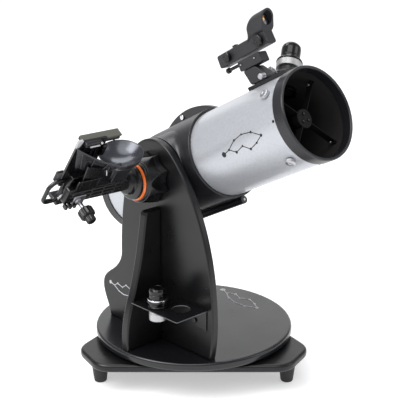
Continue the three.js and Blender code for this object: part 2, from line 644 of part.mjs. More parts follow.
function finderBody() {
  const base = roundedPolygon([[160, 139.5], [287, 141], [284, 168], [254, 164], [159.5, 163]], 4);
  const neck = new THREE.Shape();
  neck.moveTo(238, 160);
  neck.bezierCurveTo(249, 166, 250, 173, 253, 184);
  neck.bezierCurveTo(255, 193, 262, 198, 272, 198);
  neck.lineTo(299, 198);
  neck.lineTo(283, 160);
  neck.closePath();
  const arch = new THREE.Shape();
  arch.moveTo(-FINDER_HALF_WIDTH, 150);
  arch.lineTo(FINDER_HALF_WIDTH, 150);
  arch.lineTo(FINDER_HALF_WIDTH, 167);
  arch.absarc(0, HOOD_Y, HOOD_RADIUS, 0, Math.PI, false);
  arch.lineTo(-FINDER_HALF_WIDTH, 167);
  arch.closePath();
  const hood = common(sidePanel(neck, -20, 20), panel(arch, 120, 0, 10).translate(0, 0, 220));
  const view = rod(HOOD_BORE, 200, 340, 24).translate(0, HOOD_Y, 0);
  return cut(join(sidePanel(base, -FINDER_HALF_WIDTH, FINDER_HALF_WIDTH, 1.5), hood), view);
}

add(optics, 'finder_body', finderBody(), GREY_PLASTIC);
add(optics, 'finder_lens', turned([[0, 283], [HOOD_BORE - GAP, 283], [HOOD_BORE - GAP, 285], [0, 286]], 24),
  COATED_GLASS, [0, HOOD_Y, 0]);

const dial = (radius) => alongX(rod(radius, -8, -GAP, 24, 1));
add(optics, 'finder_dial_1', dial(10), BLACK_PLASTIC, [-FINDER_HALF_WIDTH, 152.5, 269]);
add(optics, 'finder_dial_2', dial(8.7), BLACK_PLASTIC, [-FINDER_HALF_WIDTH, 152.5, 187]);
add(optics, 'finder_switch', block([-4, 163.8, 197], [4, 168.5, 206]), BLACK_PLASTIC);

// ---------------------------------------------------------------- phone dock

// In this group z points out of the phone's screen and y runs down along the phone.
const dock = group(pivot, [0, 0, 0], [DOCK_TILT, 0, 0]);
const ARM_START = KNOB_FACE - 6 - GAP;
const PLATE_Z = 24;              // phone's back above the altitude axis
const PLATE = 4;

function dockArm() {
  const boss = alongX(turned([[0, -14], [20, -14], [24, -11], [24, 0], [0, 0]], 32)).translate(ARM_START, 0, 0);
  const rail = roundedPolygon([[-305, -24], [-305, 12], [ARM_START - 8, 16], [ARM_START - 8, -16]], 6);
  return join(boss, panel(rail, 13, 1.5).translate(0, 0, -7));
}

function phonePlate() {
  const back = -PLATE - 0.4;
  const plate = panel(roundedPolygon([[-308, -120], [-247, -120], [-247, -8], [-308, -8]], 6), PLATE, 1)
    .translate(0, 0, back);
  const carriage = block([-296, -40, -PLATE_Z + 6 + GAP], [-250, 4, -1]);
  const hook = roundedPolygon([[-330, -22], [-285, -26], [-285, 34], [-330, 30]], 10);
  hook.holes.push(new THREE.Path(roundedPolygon([[-322, -12], [-322, 22], [-302, 24], [-302, -14]], 6).getPoints()));
  const ledge = block([-318, 34, -8], [-236, 42, 22]);
  const link = block([-286, 0, -8], [-240, 42, -1]);
  return join(plate, carriage, panel(hook, 7, 1).translate(0, 0, -8), ledge, link).translate(0, 0, PLATE_Z);
}

/** The jaw's tongue lies on the plate, under the phone. */
function upperJaw() {
  const tongue = block([-280, -106, 0], [-250, -46, 2.5]);
  const jaw = block([-290, -108, 0], [-213, -101, 18]);
  return join(tongue, jaw).translate(0, 0, PLATE_Z);
}

add(dock, 'dock_arm', dockArm(), BLACK_PLASTIC);
add(dock, 'phone_plate', phonePlate(), BLACK_PLASTIC);
add(dock, 'upper_jaw', upperJaw(), BLACK_PLASTIC);
add(dock, 'jaw_pad', block([-292, -112, 0], [-211, -108.3, 16]).translate(0, 0, PLATE_Z), PAD_RUBBER);
add(dock, 'dock_knob', turned([[0, -57], [7.5, -57], [8.8, -55.5], [8.8, -46], [13.2, -45], [14, -43.5], [14, -31],
  [12.5, -29.5], [4, -29], [4, -7.4], [0, -7.4]], 24), BLACK_PLASTIC, [-277, 5, 0]);

const BOWL_CENTRE = [-202, -31.3, 65.1];
const BOWL_TURN = [deg(18), deg(-13.2), 0];
const bowlSpot = group(pivot, BOWL_CENTRE, BOWL_TURN);

/** Bowl that holds the mirror, with a wing out to the back of the phone plate and a post on the arm. */
function mirrorHousing() {
  const bowl = turned([[0, -22], [20, -21], [33, -14], [38, -2], [39.5, 2], [37, 2], [35.5, -1.5], [30, -11],
    [0, -13]], 32);
  const [wingCorners, thickness] = [[[-308, -106, 16.6], [-293, -54, 17], [-242, -45, -5], [-240.5, -73, -8.5]], 2.4];
  const wing = new ConvexGeometry(wingCorners.flatMap(([x, y, z]) => [
    new THREE.Vector3(x, y, z), new THREE.Vector3(x + 0.4 * thickness, y, z + 0.9 * thickness)]));
  const strut = block([-241.5, -72, -8], [-214, -58, -3]);
  const post = block([-215, -56, -6], [-180, -19.5, 6]);
  const fromDock = new THREE.Matrix4().makeRotationFromEuler(new THREE.Euler(...BOWL_TURN))
    .setPosition(...BOWL_CENTRE)
    .invert()
    .multiply(new THREE.Matrix4().makeRotationX(DOCK_TILT));
  const mount = join(wing, strut, post).applyMatrix4(fromDock);
  const hollow = turned([[0, -13], [30, -11], [35.5, -1.5], [37, 2], [37, 60], [0, 60]], 32);
  return cut(join(bowl, mount), hollow);
}

add(bowlSpot, 'mirror_housing', mirrorHousing(), GREY_PLASTIC);
add(bowlSpot, 'dock_mirror', rod(27, -10.6, -8.2, 32), MIRROR);

// ---------------------------------------------------------------- placing

// The row's origin is the middle of the whole object's box, on the floor.
const extent = new THREE.Box3().setFromObject(telescope, true);
const middle = extent.getCenter(new THREE.Vector3());
telescope.position.set(-middle.x, -middle.y, -extent.min.z);

export default telescope;
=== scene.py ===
"""Studio picture of a tabletop telescope on a single-arm rocker mount."""
import json
import math

import bmesh
import bpy
from mathutils import Matrix, Vector


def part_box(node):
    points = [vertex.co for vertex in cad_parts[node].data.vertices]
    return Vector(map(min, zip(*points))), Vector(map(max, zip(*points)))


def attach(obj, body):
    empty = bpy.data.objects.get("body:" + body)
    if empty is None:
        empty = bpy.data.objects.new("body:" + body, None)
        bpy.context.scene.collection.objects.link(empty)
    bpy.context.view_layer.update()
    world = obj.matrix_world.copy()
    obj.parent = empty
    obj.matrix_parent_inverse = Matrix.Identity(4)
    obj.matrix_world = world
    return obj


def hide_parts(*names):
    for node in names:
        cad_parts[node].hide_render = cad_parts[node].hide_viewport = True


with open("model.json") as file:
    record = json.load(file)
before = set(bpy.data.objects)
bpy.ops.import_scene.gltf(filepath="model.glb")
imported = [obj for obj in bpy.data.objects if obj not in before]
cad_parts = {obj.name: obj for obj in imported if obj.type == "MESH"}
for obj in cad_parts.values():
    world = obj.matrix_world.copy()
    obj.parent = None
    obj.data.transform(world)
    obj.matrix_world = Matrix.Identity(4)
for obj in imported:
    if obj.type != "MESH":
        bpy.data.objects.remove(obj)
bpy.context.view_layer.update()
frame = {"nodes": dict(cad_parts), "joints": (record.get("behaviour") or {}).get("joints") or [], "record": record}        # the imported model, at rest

MM = 0.001
QUARTER = math.pi / 2

# ---------------------------------------------------------------- places, read from the frame

RECORD = frame["record"]
JOINTS = {joint["name"]: joint for joint in frame["joints"]}
BODY_OF = {node: body for body, nodes in RECORD["behaviour"]["bodies"].items() for node in nodes}
SLOT_OF = {part["node"]: part["material_slot"] for part in RECORD["subparts"]}

X, Y, Z = Vector((1, 0, 0)), Vector((0, 1, 0)), Vector((0, 0, 1))


def place(origin, x, y, z):
    """Local millimetres to row metres, by an origin in metres and three axes."""
    turn = Matrix((x, y, z)).transposed().to_4x4()
    return Matrix.Translation(origin) @ turn @ Matrix.Scale(MM, 4)


def middle(node):
    low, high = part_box(node)
    return (low + high) / 2


AZIMUTH = Vector(JOINTS["azimuth"]["pos_m"])
PIVOT = Vector(JOINTS["altitude"]["pos_m"])
ALONG = Vector(JOINTS["finder_tilt_turn"]["axis"]).normalized()     # along the tube, to its open end
ABOVE = ALONG.cross(X).normalized()                                 # the tube's upper side
OUTWARD = Vector(JOINTS["focus_travel"]["axis"]).normalized()       # out of the focuser
FOCUSER_ROLL = math.atan2(OUTWARD.dot(X), OUTWARD.dot(ABOVE))
DOWN_PHONE = -Vector(JOINTS["jaw_slide"]["axis"]).normalized()
OFF_PHONE = Vector(JOINTS["dock_clamp_turn"]["axis"]).normalized()

DISC_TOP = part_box("turntable")[1].z
ARM_OUTER = (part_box("side_board")[0].x - PIVOT.x) / MM
ARM_INNER = (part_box("side_board")[1].x - PIVOT.x) / MM
TUBE_X = (middle("tube").x - PIVOT.x) / MM

foot_spot = middle("foot_1") - AZIMUTH
GROUND_TURN = math.atan2(foot_spot.y, foot_spot.x) + math.radians(30)

on_disc = place(Vector((AZIMUTH.x, AZIMUTH.y, DISC_TOP)), X, Y, Z)
on_ground = (place(Vector((AZIMUTH.x, AZIMUTH.y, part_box("ground_board")[0].z)), X, Y, Z)
             @ Matrix.Rotation(GROUND_TURN, 4, "Z"))
on_shaft = place(PIVOT, Y, Z, X)                    # local z along the altitude axis
in_saddle = place(PIVOT, X, ABOVE, ALONG)
in_tube = place(PIVOT + X * TUBE_X * MM, X, ABOVE, ALONG)
tube_side = place(PIVOT + X * TUBE_X * MM, ALONG, ABOVE, -X)
in_dock = place(PIVOT, X, DOWN_PHONE, OFF_PHONE)


def moved(x=0, y=0, z=0):
    return Matrix.Translation((x, y, z))


def on_wall(at, roll):
    """Place on the tube's wall: z points out, y back along the tube."""
    return in_tube @ moved(z=at) @ Matrix.Rotation(-roll, 4, "Z") @ Matrix.Rotation(-QUARTER, 4, "X")


# ---------------------------------------------------------------- outlines

def fillet(points, radius, closed=True, steps=4):
    """The outline with every corner rounded, by at most radius along each side."""
    points = [Vector(point) for point in points]
    rounded = []
    for i, here in enumerate(points):
        to_last = points[i - 1] - here
        to_next = points[(i + 1) % len(points)] - here
        at_end = not closed and i in (0, len(points) - 1)
        reach = min(radius, 0.45 * to_last.length, 0.45 * to_next.length)
        if at_end or reach < 1e-3 or to_last.angle(to_next) > math.pi - 0.06:
            rounded.append(here)
            continue
        start = here + to_last.normalized() * reach
        end = here + to_next.normalized() * reach
        for k in range(steps + 1):
            u = k / steps
            rounded.append(start * (1 - u) ** 2 + here * 2 * u * (1 - u) + end * u * u)
    return rounded


def bezier(a, b, c, d, steps=24):
    """Points of a cubic curve, without its first one."""
    a, b, c, d = map(Vector, (a, b, c, d))
    times = [k / steps for k in range(1, steps + 1)]
    return [a * (1 - u) ** 3 + b * 3 * u * (1 - u) ** 2 + c * 3 * u * u * (1 - u) + d * u ** 3
            for u in times]


def arc(x, y, radius, start, end, steps=48):
    angles = [start + (end - start) * k / steps for k in range(steps + 1)]
    return [Vector((x + radius * math.cos(a), y + radius * math.sin(a))) for a in angles]


def circle(x, y, radius, steps=64):
    return arc(x, y, radius, 0, 2 * math.pi, steps)[:-1]


# ---------------------------------------------------------------- shapes, in local millimetres

def lathe(profile, segments=96, soft=0.4, wave=None):
    """Solid of revolution about Z. wave(angle, height) scales the radius there."""
    closed = profile[0][0] > 0 or profile[-1][0] > 0
    line = fillet(profile, soft, closed)
    shape = bmesh.new()
    rings = []
    for radius, height in line:
        if radius < 1e-6:
            rings.append([shape.verts.new((0, 0, height))])
            continue
        ring = []
        for i in range(segments):
            angle = 2 * math.pi * i / segments
            reach = radius * (wave(angle, height) if wave else 1)
            ring.append(shape.verts.new((reach * math.cos(angle), reach * math.sin(angle), height)))
        rings.append(ring)
    pairs = list(zip(rings, rings[1:] + rings[:1] if closed else rings[1:]))
    for lower, upper in pairs:
        for i in range(segments):
            j = (i + 1) % segments
            corners = [lower[i % len(lower)], lower[j % len(lower)],
                       upper[j % len(upper)], upper[i % len(upper)]]
            corners = list(dict.fromkeys(corners))
            if len(corners) > 2:
                shape.faces.new(corners)
    bmesh.ops.recalc_face_normals(shape, faces=shape.faces)
    return shape


def slab(outline, thickness, edge=1.0, holes=(), steps=3):
    """Flat outline from z = 0 to thickness, with its edges rounded."""
    curve = bpy.data.curves.new("outline", "CURVE")
    curve.dimensions = "2D"
    curve.fill_mode = "BOTH"
    curve.extrude = thickness / 2 - edge
    curve.bevel_depth = edge
    curve.bevel_resolution = steps
    curve.offset = -edge
    for path in (outline, *holes):
        spline = curve.splines.new("POLY")
        spline.points.add(len(path) - 1)
        for point, (x, y) in zip(spline.points, path):
            point.co = (x, y, 0, 1)
        spline.use_cyclic_u = True
    carrier = bpy.data.objects.new("outline", curve)
    mesh = bpy.data.meshes.new_from_object(carrier)
    shape = bmesh.new()
    shape.from_mesh(mesh)
    bpy.data.objects.remove(carrier)
    bpy.data.curves.remove(curve)
    bpy.data.meshes.remove(mesh)
    bmesh.ops.remove_doubles(shape, verts=shape.verts, dist=1e-3)
    bmesh.ops.recalc_face_normals(shape, faces=shape.faces)
    shape.transform(moved(z=thickness / 2))
    return shape


def block(low, high, edge=0.8, steps=3):
    """Box between two corners, with rounded edges."""
    size = Vector(high) - Vector(low)
    shape = bmesh.new()
    bmesh.ops.create_cube(shape, size=1, matrix=Matrix.Diagonal((*size, 1)))
    if edge > 0:
        bmesh.ops.bevel(shape, geom=shape.edges[:], offset=min(edge, 0.45 * min(size)), segments=steps,
                        profile=0.5, affect="EDGES")
    shape.transform(Matrix.Translation((Vector(high) + Vector(low)) / 2))
    return shape


def loft(sections, close_ends=True):
    """Skin over closed sections that all have the same number of points."""
    shape = bmesh.new()
    rows = [[shape.verts.new(point) for point in section] for section in sections]
    for lower, upper in zip(rows, rows[1:]):
        for i in range(len(lower)):
            j = (i + 1) % len(lower)
            shape.faces.new((lower[i], lower[j], upper[j], upper[i]))
    if close_ends:
        shape.faces.new(rows[0])
        shape.faces.new(rows[-1])
    bmesh.ops.recalc_face_normals(shape, faces=shape.faces)
    return shape


def put(shape, *matrices):
    """The shape, moved by each matrix in turn."""
    for matrix in matrices:
        shape.transform(matrix)
    return shape


def copies(shape, matrices):
    """One copy of the shape for each matrix."""
    made = []
    for matrix in matrices:
        copy = shape.copy()
        copy.transform(matrix)
        made.append(copy)
    return made


ALONG_X = Matrix.Rotation(QUARTER, 4, "Z") @ Matrix.Rotation(QUARTER, 4, "X")   # local z to x
ALONG_Y = Matrix.Rotation(-QUARTER, 4, "X")                                     # local z to y


def to_mesh(name, shapes):
    whole = bmesh.new()
    for shape in shapes:
        part = bpy.data.meshes.new(name)
        shape.to_mesh(part)
        shape.free()
        whole.from_mesh(part)
        bpy.data.meshes.remove(part)
    mesh = bpy.data.meshes.new(name)
    whole.to_mesh(mesh)
    whole.free()
    return mesh


def carve(shape, *cutters):
    """The shape with the cutters taken out of it."""
    body = bpy.data.objects.new("body", to_mesh("body", [shape]))
    bpy.context.scene.collection.objects.link(body)
    tools = []
    for cutter in cutters:
        tool = bpy.data.objects.new("tool", to_mesh("tool", [cutter]))
        bpy.context.scene.collection.objects.link(tool)
        change = body.modifiers.new("cut", "BOOLEAN")
        change.operation = "DIFFERENCE"
        change.solver = "EXACT"
        change.object = tool
        tools.append(tool)
    bpy.context.view_layer.update()
    mesh = bpy.data.meshes.new_from_object(body.evaluated_get(bpy.context.evaluated_depsgraph_get()))
    cut = bmesh.new()
    cut.from_mesh(mesh)
    for thing in (body, *tools):
        bpy.data.objects.remove(thing)
    bpy.data.meshes.remove(mesh)
    return cut


def rod_between(start, end, radius, sides=16):
    start, end = Vector(start), Vector(end)
    turn = (end - start).to_track_quat("Z", "Y").to_matrix().to_4x4()
    length = (end - start).length
    return put(lathe([(0, 0), (radius, 0), (radius, length), (0, length)], sides, radius * 0.4),
               turn, Matrix.Translation(start))


def thick_sheet(rows, offset):
    """Sheet through rows of points, given a thickness by an offset."""
    offset = Vector(offset)
    sections = []
    for row in rows:
        front = [Vector(point) for point in row]
        sections.append(front + [point + offset for point in reversed(front)])
    return loft(sections)


# ---------------------------------------------------------------- materials

class Nodes:
    """Short ways to wire a material's node tree."""

    def __init__(self, name):
        self.material = bpy.data.materials.new(name)
        self.material.use_nodes = True
        self.tree = self.material.node_tree
        self.shader = self.tree.nodes["Principled BSDF"]
        self.where = self.tree.nodes.new("ShaderNodeTexCoord").outputs["Object"]

    def link(self, output, target):
        self.tree.links.new(output, target)

    def noise(self, scale, detail=3, stretch=(1, 1, 1)):
        mapping = self.tree.nodes.new("ShaderNodeMapping")
        mapping.inputs["Scale"].default_value = stretch
        self.link(self.where, mapping.inputs["Vector"])
        noise = self.tree.nodes.new("ShaderNodeTexNoise")
        noise.inputs["Scale"].default_value = scale
        noise.inputs["Detail"].default_value = detail
        self.link(mapping.outputs["Vector"], noise.inputs["Vector"])
        return noise.outputs["Fac"]

    def spread(self, value, low, high):
        """A noise's middle range, mapped between low and high."""
        node = self.tree.nodes.new("ShaderNodeMapRange")
        node.inputs["From Min"].default_value = 0.3
        node.inputs["From Max"].default_value = 0.7
        node.inputs["To Min"].default_value = low
        node.inputs["To Max"].default_value = high
        self.link(value, node.inputs["Value"])
        return node.outputs["Result"]

    def mix(self, value, first, second):
        node = self.tree.nodes.new("ShaderNodeMix")
        node.data_type = "RGBA"
        node.inputs["A"].default_value = (*first, 1)
        node.inputs["B"].default_value = (*second, 1)
        self.link(value, node.inputs["Factor"])
        return node.outputs["Result"]

    def bump(self, value, strength, depth=0.0002):
        node = self.tree.nodes.new("ShaderNodeBump")
        node.inputs["Strength"].default_value = strength
        node.inputs["Distance"].default_value = depth
        self.link(value, node.inputs["Height"])
        self.link(node.outputs["Normal"], self.shader.inputs["Normal"])

    def set(self, **values):
        for name, value in values.items():
            self.shader.inputs[name.replace("_", " ")].default_value = value


def shade(color, factor):
    return tuple(min(1.0, channel * factor) for channel in color)


def finish(name, color, rough, grain, grain_scale, vary=0.12, patch_scale=14, **values):
    """A surface with fine grain, patchy gloss and a little change of colour."""
    nodes = Nodes(name)
    nodes.set(**values)
    patches = nodes.noise(patch_scale, 4)
    fine = nodes.noise(grain_scale, 2)
    color_mix = nodes.mix(nodes.spread(patches, 0, 1), shade(color, 1 - vary), shade(color, 1 + vary))
    nodes.link(color_mix, nodes.shader.inputs["Base Color"])
    nodes.link(nodes.spread(patches, rough[0], rough[1]), nodes.shader.inputs["Roughness"])
    nodes.bump(fine, grain)
    return nodes.material


LAMINATE = finish("board_laminate", (0.0055, 0.0055, 0.0062), (0.26, 0.36), 0.1, 1400, 0.15,
                  Specular_IOR_Level=0.4)
DISC = finish("disc_laminate", (0.0075, 0.0075, 0.009), (0.2, 0.28), 0.12, 1100, 0.1,
              Specular_IOR_Level=0.55)
BLACK = finish("black_plastic", (0.0045, 0.0045, 0.0052), (0.2, 0.34), 0.15, 2200, 0.2)
GLOSS = finish("gloss_black", (0.0022, 0.0022, 0.0025), (0.08, 0.15), 0.04, 900, 0.1)
# Lighter grey with a fine speckle for cut edges: a painted highlight where the edges catch the light.
RIM_HIGHLIGHT = finish("speckled_painted_highlight", (0.085, 0.085, 0.088), (0.4, 0.6), 0.5, 900, 0.45, 420)
PALE = finish("pale_plastic", (0.42, 0.42, 0.43), (0.35, 0.45), 0.1, 1500, 0.08)
BRUSHED = finish("brushed_metal", (0.5, 0.5, 0.5), (0.42, 0.52), 0.1, 1600, 0.06, Metallic=1.0)
GREY = finish("grey_plastic", (0.0115, 0.0115, 0.014), (0.24, 0.36), 0.2, 2400, 0.12)
SADDLE = finish("saddle_plastic", (0.006, 0.006, 0.008), (0.3, 0.4), 0.15, 2400, 0.12,
                Specular_IOR_Level=0.6)
# Lighter grey for the wing's rolled edge and ribs: a painted highlight along them.
TRIM_HIGHLIGHT = finish("trim_painted_highlight", (0.035, 0.035, 0.04), (0.22, 0.32), 0.1, 2000, 0.1)
SMOKE = finish("smoked_dish", (0.085, 0.088, 0.1), (0.18, 0.26), 0.02, 500, 0.06, Metallic=0.85)
SOOT = finish("finder_plastic", (0.016, 0.016, 0.019), (0.42, 0.56), 0.35, 1300, 0.2)
RUBBER = finish("rubber", (0.012, 0.012, 0.013), (0.5, 0.65), 0.3, 1500, 0.2)
PAD = finish("pad_rubber", (0.085, 0.085, 0.07), (0.6, 0.75), 0.3, 1800, 0.12)
PTFE = finish("ptfe", (0.78, 0.78, 0.76), (0.45, 0.55), 0.1, 900, 0.04)
SILVER = finish("silver_paint", (0.48, 0.495, 0.525), (0.34, 0.42), 0.08, 2600, 0.06, 260,
                Metallic=0.5, Coat_Weight=0.3, Coat_Roughness=0.2)
MATT = finish("matt_black", (0.0035, 0.0035, 0.0036), (0.65, 0.8), 0.3, 2000, 0.25, Specular_IOR_Level=0.3)
INSIDE = finish("tube_inside", (0.019, 0.017, 0.0165), (0.65, 0.8), 0.3, 2000, 0.2, Specular_IOR_Level=0.3)
STEEL = finish("turned_steel", (0.5, 0.5, 0.52), (0.24, 0.38), 0.1, 2500, 0.06, Metallic=1.0)
CHROME = finish("chrome", (0.72, 0.72, 0.74), (0.08, 0.18), 0.02, 1500, 0.03, Metallic=1.0)
ORANGE = finish("orange_plastic", (0.87, 0.16, 0.012), (0.25, 0.35), 0.05, 1200, 0.06, Coat_Weight=0.4)
MIRROR = finish("mirror_coating", (0.85, 0.87, 0.9), (0.01, 0.03), 0.004, 300, 0.01, Metallic=1.0)
NIGHT = finish("dark_lens", (0.006, 0.008, 0.02), (0.04, 0.08), 0.01, 300, 0.3, Coat_Weight=1.0)
# The amber of the finder window's coating, laid only where light reflects at its upper left: partly painted
# reflection.
AMBER_REFLECTION = finish("amber_glass_painted_reflection", (0.6, 0.27, 0.01), (0.03, 0.06), 0.01, 300, 0.5, 110,
               Coat_Weight=1.0, Metallic=0.4)

# ---------------------------------------------------------------- pieces

SMOOTH_UNDER = math.radians(38)


def piece(name, body, slot, at, skin, *shapes, inner=None):
    """A finished piece that rides on a body. inner is (material, test of a face's local middle)."""
    mesh = to_mesh(name, shapes)
    mesh.materials.append(skin)
    if inner:
        mesh.materials.append(inner[0])
        for face in mesh.polygons:
            face.material_index = int(inner[1](face.center))
    mesh.transform(at)
    mesh.polygons.foreach_set("use_smooth", [True] * len(mesh.polygons))
    mesh.set_sharp_from_angle(angle=SMOOTH_UNDER)
    made = bpy.data.objects.new(name, mesh)
    bpy.context.scene.collection.objects.link(made)
    weighted = made.modifiers.new("weighted_normals", "WEIGHTED_NORMAL")
    weighted.keep_sharp = True
    weighted.weight = 80
    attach(made, body)
    return made


def refine(node, at, skin, *shapes, inner=None):
    """A finished piece in place of one CAD node."""
    made = piece(node + ".fine", BODY_OF[node], SLOT_OF[node], at, skin, *shapes, inner=inner)
    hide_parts(node)
    return made


def around(count, start=0.0):
    """Evenly spaced turns about Z."""
    return [Matrix.Rotation(start + 2 * math.pi * k / count, 4, "Z") for k in range(count)]


def knurl(teeth, depth, low=-math.inf, high=math.inf):
    """Wave for lathe: teeth round the rim, between two heights."""
    def wave(angle, height):
        return 1 - depth * (0.5 + 0.5 * math.cos(teeth * angle)) if low < height < high else 1
    return wave


# ---------------------------------------------------------------- ground board and feet

BOARD = 16
GROUND_INRADIUS = 156
GROUND_CORNER = 233
GROUND_SHIFT = 5


def ground_outline():
    half_cut = (2 * GROUND_INRADIUS - GROUND_CORNER) * math.tan(math.radians(30))
    points = []
    for k in range(3):
        turn = math.radians(-30 + 120 * k)
        for side in (-half_cut, half_cut):
            points.append((GROUND_CORNER * math.cos(turn) - side * math.sin(turn),
                           GROUND_CORNER * math.sin(turn) + side * math.cos(turn) - GROUND_SHIFT))
    return fillet(points, 26, steps=12)


refine("ground_board", on_ground, LAMINATE, slab(ground_outline(), BOARD, 6, steps=6))
FOOT = [(0, -44), (10, -44), (12, -42), (13.5, -30), (16.5, -4), (16.5, -0.3), (0, -0.3)]
for foot in ("foot_1", "foot_2", "foot_3"):
    spot = middle(foot)
    base = place(Vector((spot.x, spot.y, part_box("ground_board")[0].z)), X, Y, Z)
    refine(foot, base, RUBBER, lathe(FOOT, 64, 1.5))

# ---------------------------------------------------------------- turntable

DISC_RADIUS = 195
DISC_EDGE = 3.5
refine("turntable", on_disc, DISC, lathe([(4.5, -BOARD), (DISC_RADIUS, -BOARD), (DISC_RADIUS, 0), (4.5, 0)],
                                         256, DISC_EDGE * 1.6))

# ---------------------------------------------------------------- arm

AXIS_HEIGHT = (PIVOT.z - DISC_TOP) / MM
ARM_TOP_RADIUS = 69.5
PANEL = ARM_INNER - ARM_OUTER
RIB = 18
RIB_FRONT = (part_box("rib_board")[0].y - PIVOT.y) / MM


def side_outline():
    start = Vector((138, 0.3))
    path = [start] + bezier(start, (140, 20), (158.5, 40), (158.5, 62))
    path += bezier(path[-1], (158.5, 80), (150, 87), (131, 100))
    path += bezier(path[-1], (108, 116), (98, 132), (98, 150))
    path += bezier(path[-1], (98, 230), (76, 333), (56, 360.6), 40)
    path += arc(0, AXIS_HEIGHT, ARM_TOP_RADIUS, math.atan2(41.1, 56), math.atan2(48, -50.3))[1:]
    path += bezier(path[-1], (-112, 306), (-159, 205), (-159, 70), 48)
    path += bezier(path[-1], (-159, 40), (-155, 15), (-152, 0.3), 12)
    return path


def rib_outline():
    path = [Vector((0.3, 0.3)), Vector((85, 0.3))]
    path += bezier(path[-1], (88, 30), (84, 60), (72, 95))
    path += bezier(path[-1], (56, 135), (45, 190), (36, 254))
    path += bezier(path[-1], (35, 259), (32, 262), (26, 262), 8)
    path += [Vector((0.3, 262))]
    return path


arm_side = place(Vector((PIVOT.x + ARM_OUTER * MM, PIVOT.y, DISC_TOP)), Y, Z, X)
refine("side_board", arm_side, LAMINATE,
       slab(side_outline(), PANEL, 3.2, [circle(0, AXIS_HEIGHT, 16.5)], 5))
rib_side = place(Vector((PIVOT.x + ARM_OUTER * MM, PIVOT.y + RIB_FRONT * MM, DISC_TOP)), -X, Z, Y)
refine("rib_board", rib_side, LAMINATE, slab(rib_outline(), RIB, 3.2, steps=5))

# ---------------------------------------------------------------- eyepiece tray

TRAY_Z = 96
TRAY_HOLE = 17
spare_spot = (middle("spare_body") - Vector((PIVOT.x, PIVOT.y, 0))) / MM
EMPTY_SPOT = (-134, -108)


def eyepiece_tray():
    inner, back = ARM_OUTER - 0.3, RIB_FRONT - 0.3
    corners = [(inner, back), (inner - 76.5, back), (inner - 76.5, back - 126), (inner, back - 126)]
    holes = [circle(spare_spot.x, spare_spot.y, TRAY_HOLE), circle(*EMPTY_SPOT, TRAY_HOLE)]
    plate = put(slab(fillet(corners, 4), 2, 0.5, holes, 2), moved(z=TRAY_Z))
    lip = fillet([(-101, 1.6), (-101, -22), (-113, -36), (-144, -41), (-144, 1.6)], 4)
    flange = put(slab(lip, 2, 0.5, steps=2), ALONG_X, moved(inner - 2, 0, TRAY_Z))
    return plate, flange


on_arm = place(Vector((PIVOT.x, PIVOT.y, DISC_TOP)), X, Y, Z)
# The tray plate's cut edges take the lighter grey: painted highlight.
refine("eyepiece_tray", on_arm, BLACK, *eyepiece_tray(),
       inner=(RIM_HIGHLIGHT, lambda spot: TRAY_Z + 0.3 < spot.z < TRAY_Z + 1.7 and spot.x < ARM_OUTER - 3))
tray_screw = middle("tray_screw")
screw_place = place(Vector((PIVOT.x + ARM_OUTER * MM, tray_screw.y, tray_screw.z)), Y, Z, X)
refine("tray_screw", screw_place, BLACK,
       lathe([(0, -6), (4, -6), (4.6, -5.2), (4.6, -3), (3, -2.7), (0, -2.7)], 60, 0.3, knurl(20, 0.06)))

spare = place(Vector((middle("spare_body").x, middle("spare_body").y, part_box("spare_body")[0].z)), X, Y, Z)
refine("spare_barrel", spare, BRUSHED,
       lathe([(14, -25), (15.9, -25), (15.9, -12), (15.3, -11), (15.3, -8), (15.9, -7), (15.9, -0.3),
              (0, -0.3), (0, -6), (14, -6)], 96, 0.3))
refine("spare_body", spare, GLOSS,
       lathe([(0, 0), (18.5, 0), (18.5, 2.4), (17.2, 3.2), (17.2, 8.8), (19.6, 9.6), (19.6, 12.4),
              (18.2, 13.4), (18.2, 17.4), (15.6, 18), (15.6, 24), (15, 24.6), (15, 25.6), (15.6, 26.2),
              (15.6, 32), (13.4, 35.8), (8, 37.6), (7.4, 36.8), (0, 36)], 96, 0.7))
piece("spare_ring", "spare_eyepiece", "chrome", spare, CHROME,
      lathe([(16.4, 13.6), (18.5, 13.6), (18.8, 14.2), (18.8, 15.8), (18.5, 16.4), (16.4, 16.4)], 96, 0.3))

# ---------------------------------------------------------------- tension knob

KNOB_RADIUS = 48
LOBES = 8
HOLLOW_WIDTH = 0.47                 # half width at the board, as a share of one lobe's turn
HOLLOW_DEPTH = 0.19                 # as a share of the radius
HOLLOW_START = -39.5
HOLLOW_RUN = 24                     # from its start to its full depth
RING_SEAT = 32.4
knob = on_shaft @ moved(z=ARM_OUTER)


def scallop(angle, height):
    """Rounded hollows between the lobes, deepest towards the board and running out at the cap."""
    along = min(1.0, max(0.0, (height - HOLLOW_START) / HOLLOW_RUN))
    offset = ((angle * LOBES / (2 * math.pi) + 0.5) % 1 - 0.5) / HOLLOW_WIDTH
    return 1 - HOLLOW_DEPTH * max(0.0, along - offset * offset)


GRIP = ([(20, -0.6), (KNOB_RADIUS - 2, -0.6), (KNOB_RADIUS - 0.4, -1.8)]
        + [(KNOB_RADIUS - 6 * (k / 16) ** 1.4, -3 - 2.3 * k) for k in range(17)]
        + [(40.8, -41.4), (39, -41.8), (20, -41.8)])
CAP = [(16, -40.5), (40.4, -40.5), (39.6, -43), (37.4, -46), (RING_SEAT + 0.5, -46), (RING_SEAT, -46.3),
       (RING_SEAT, -49.6), (RING_SEAT - 1.2, -50.2), (29, -50.2), (27.5, -48.6), (22, -48.2), (20.5, -50),
       (16, -50)]
refine("tension_knob", knob, BLACK, lathe(GRIP, 320, 0.8, scallop), lathe(CAP, 128, 0.6))
refine("knob_ring", knob, ORANGE,
       lathe([(RING_SEAT + 0.3, -50.3), (34.4, -50.3), (35.4, -49.4), (36.4, -46.4),
              (RING_SEAT + 0.3, -46.4)], 160, 0.4))

# ---------------------------------------------------------------- tube clamp

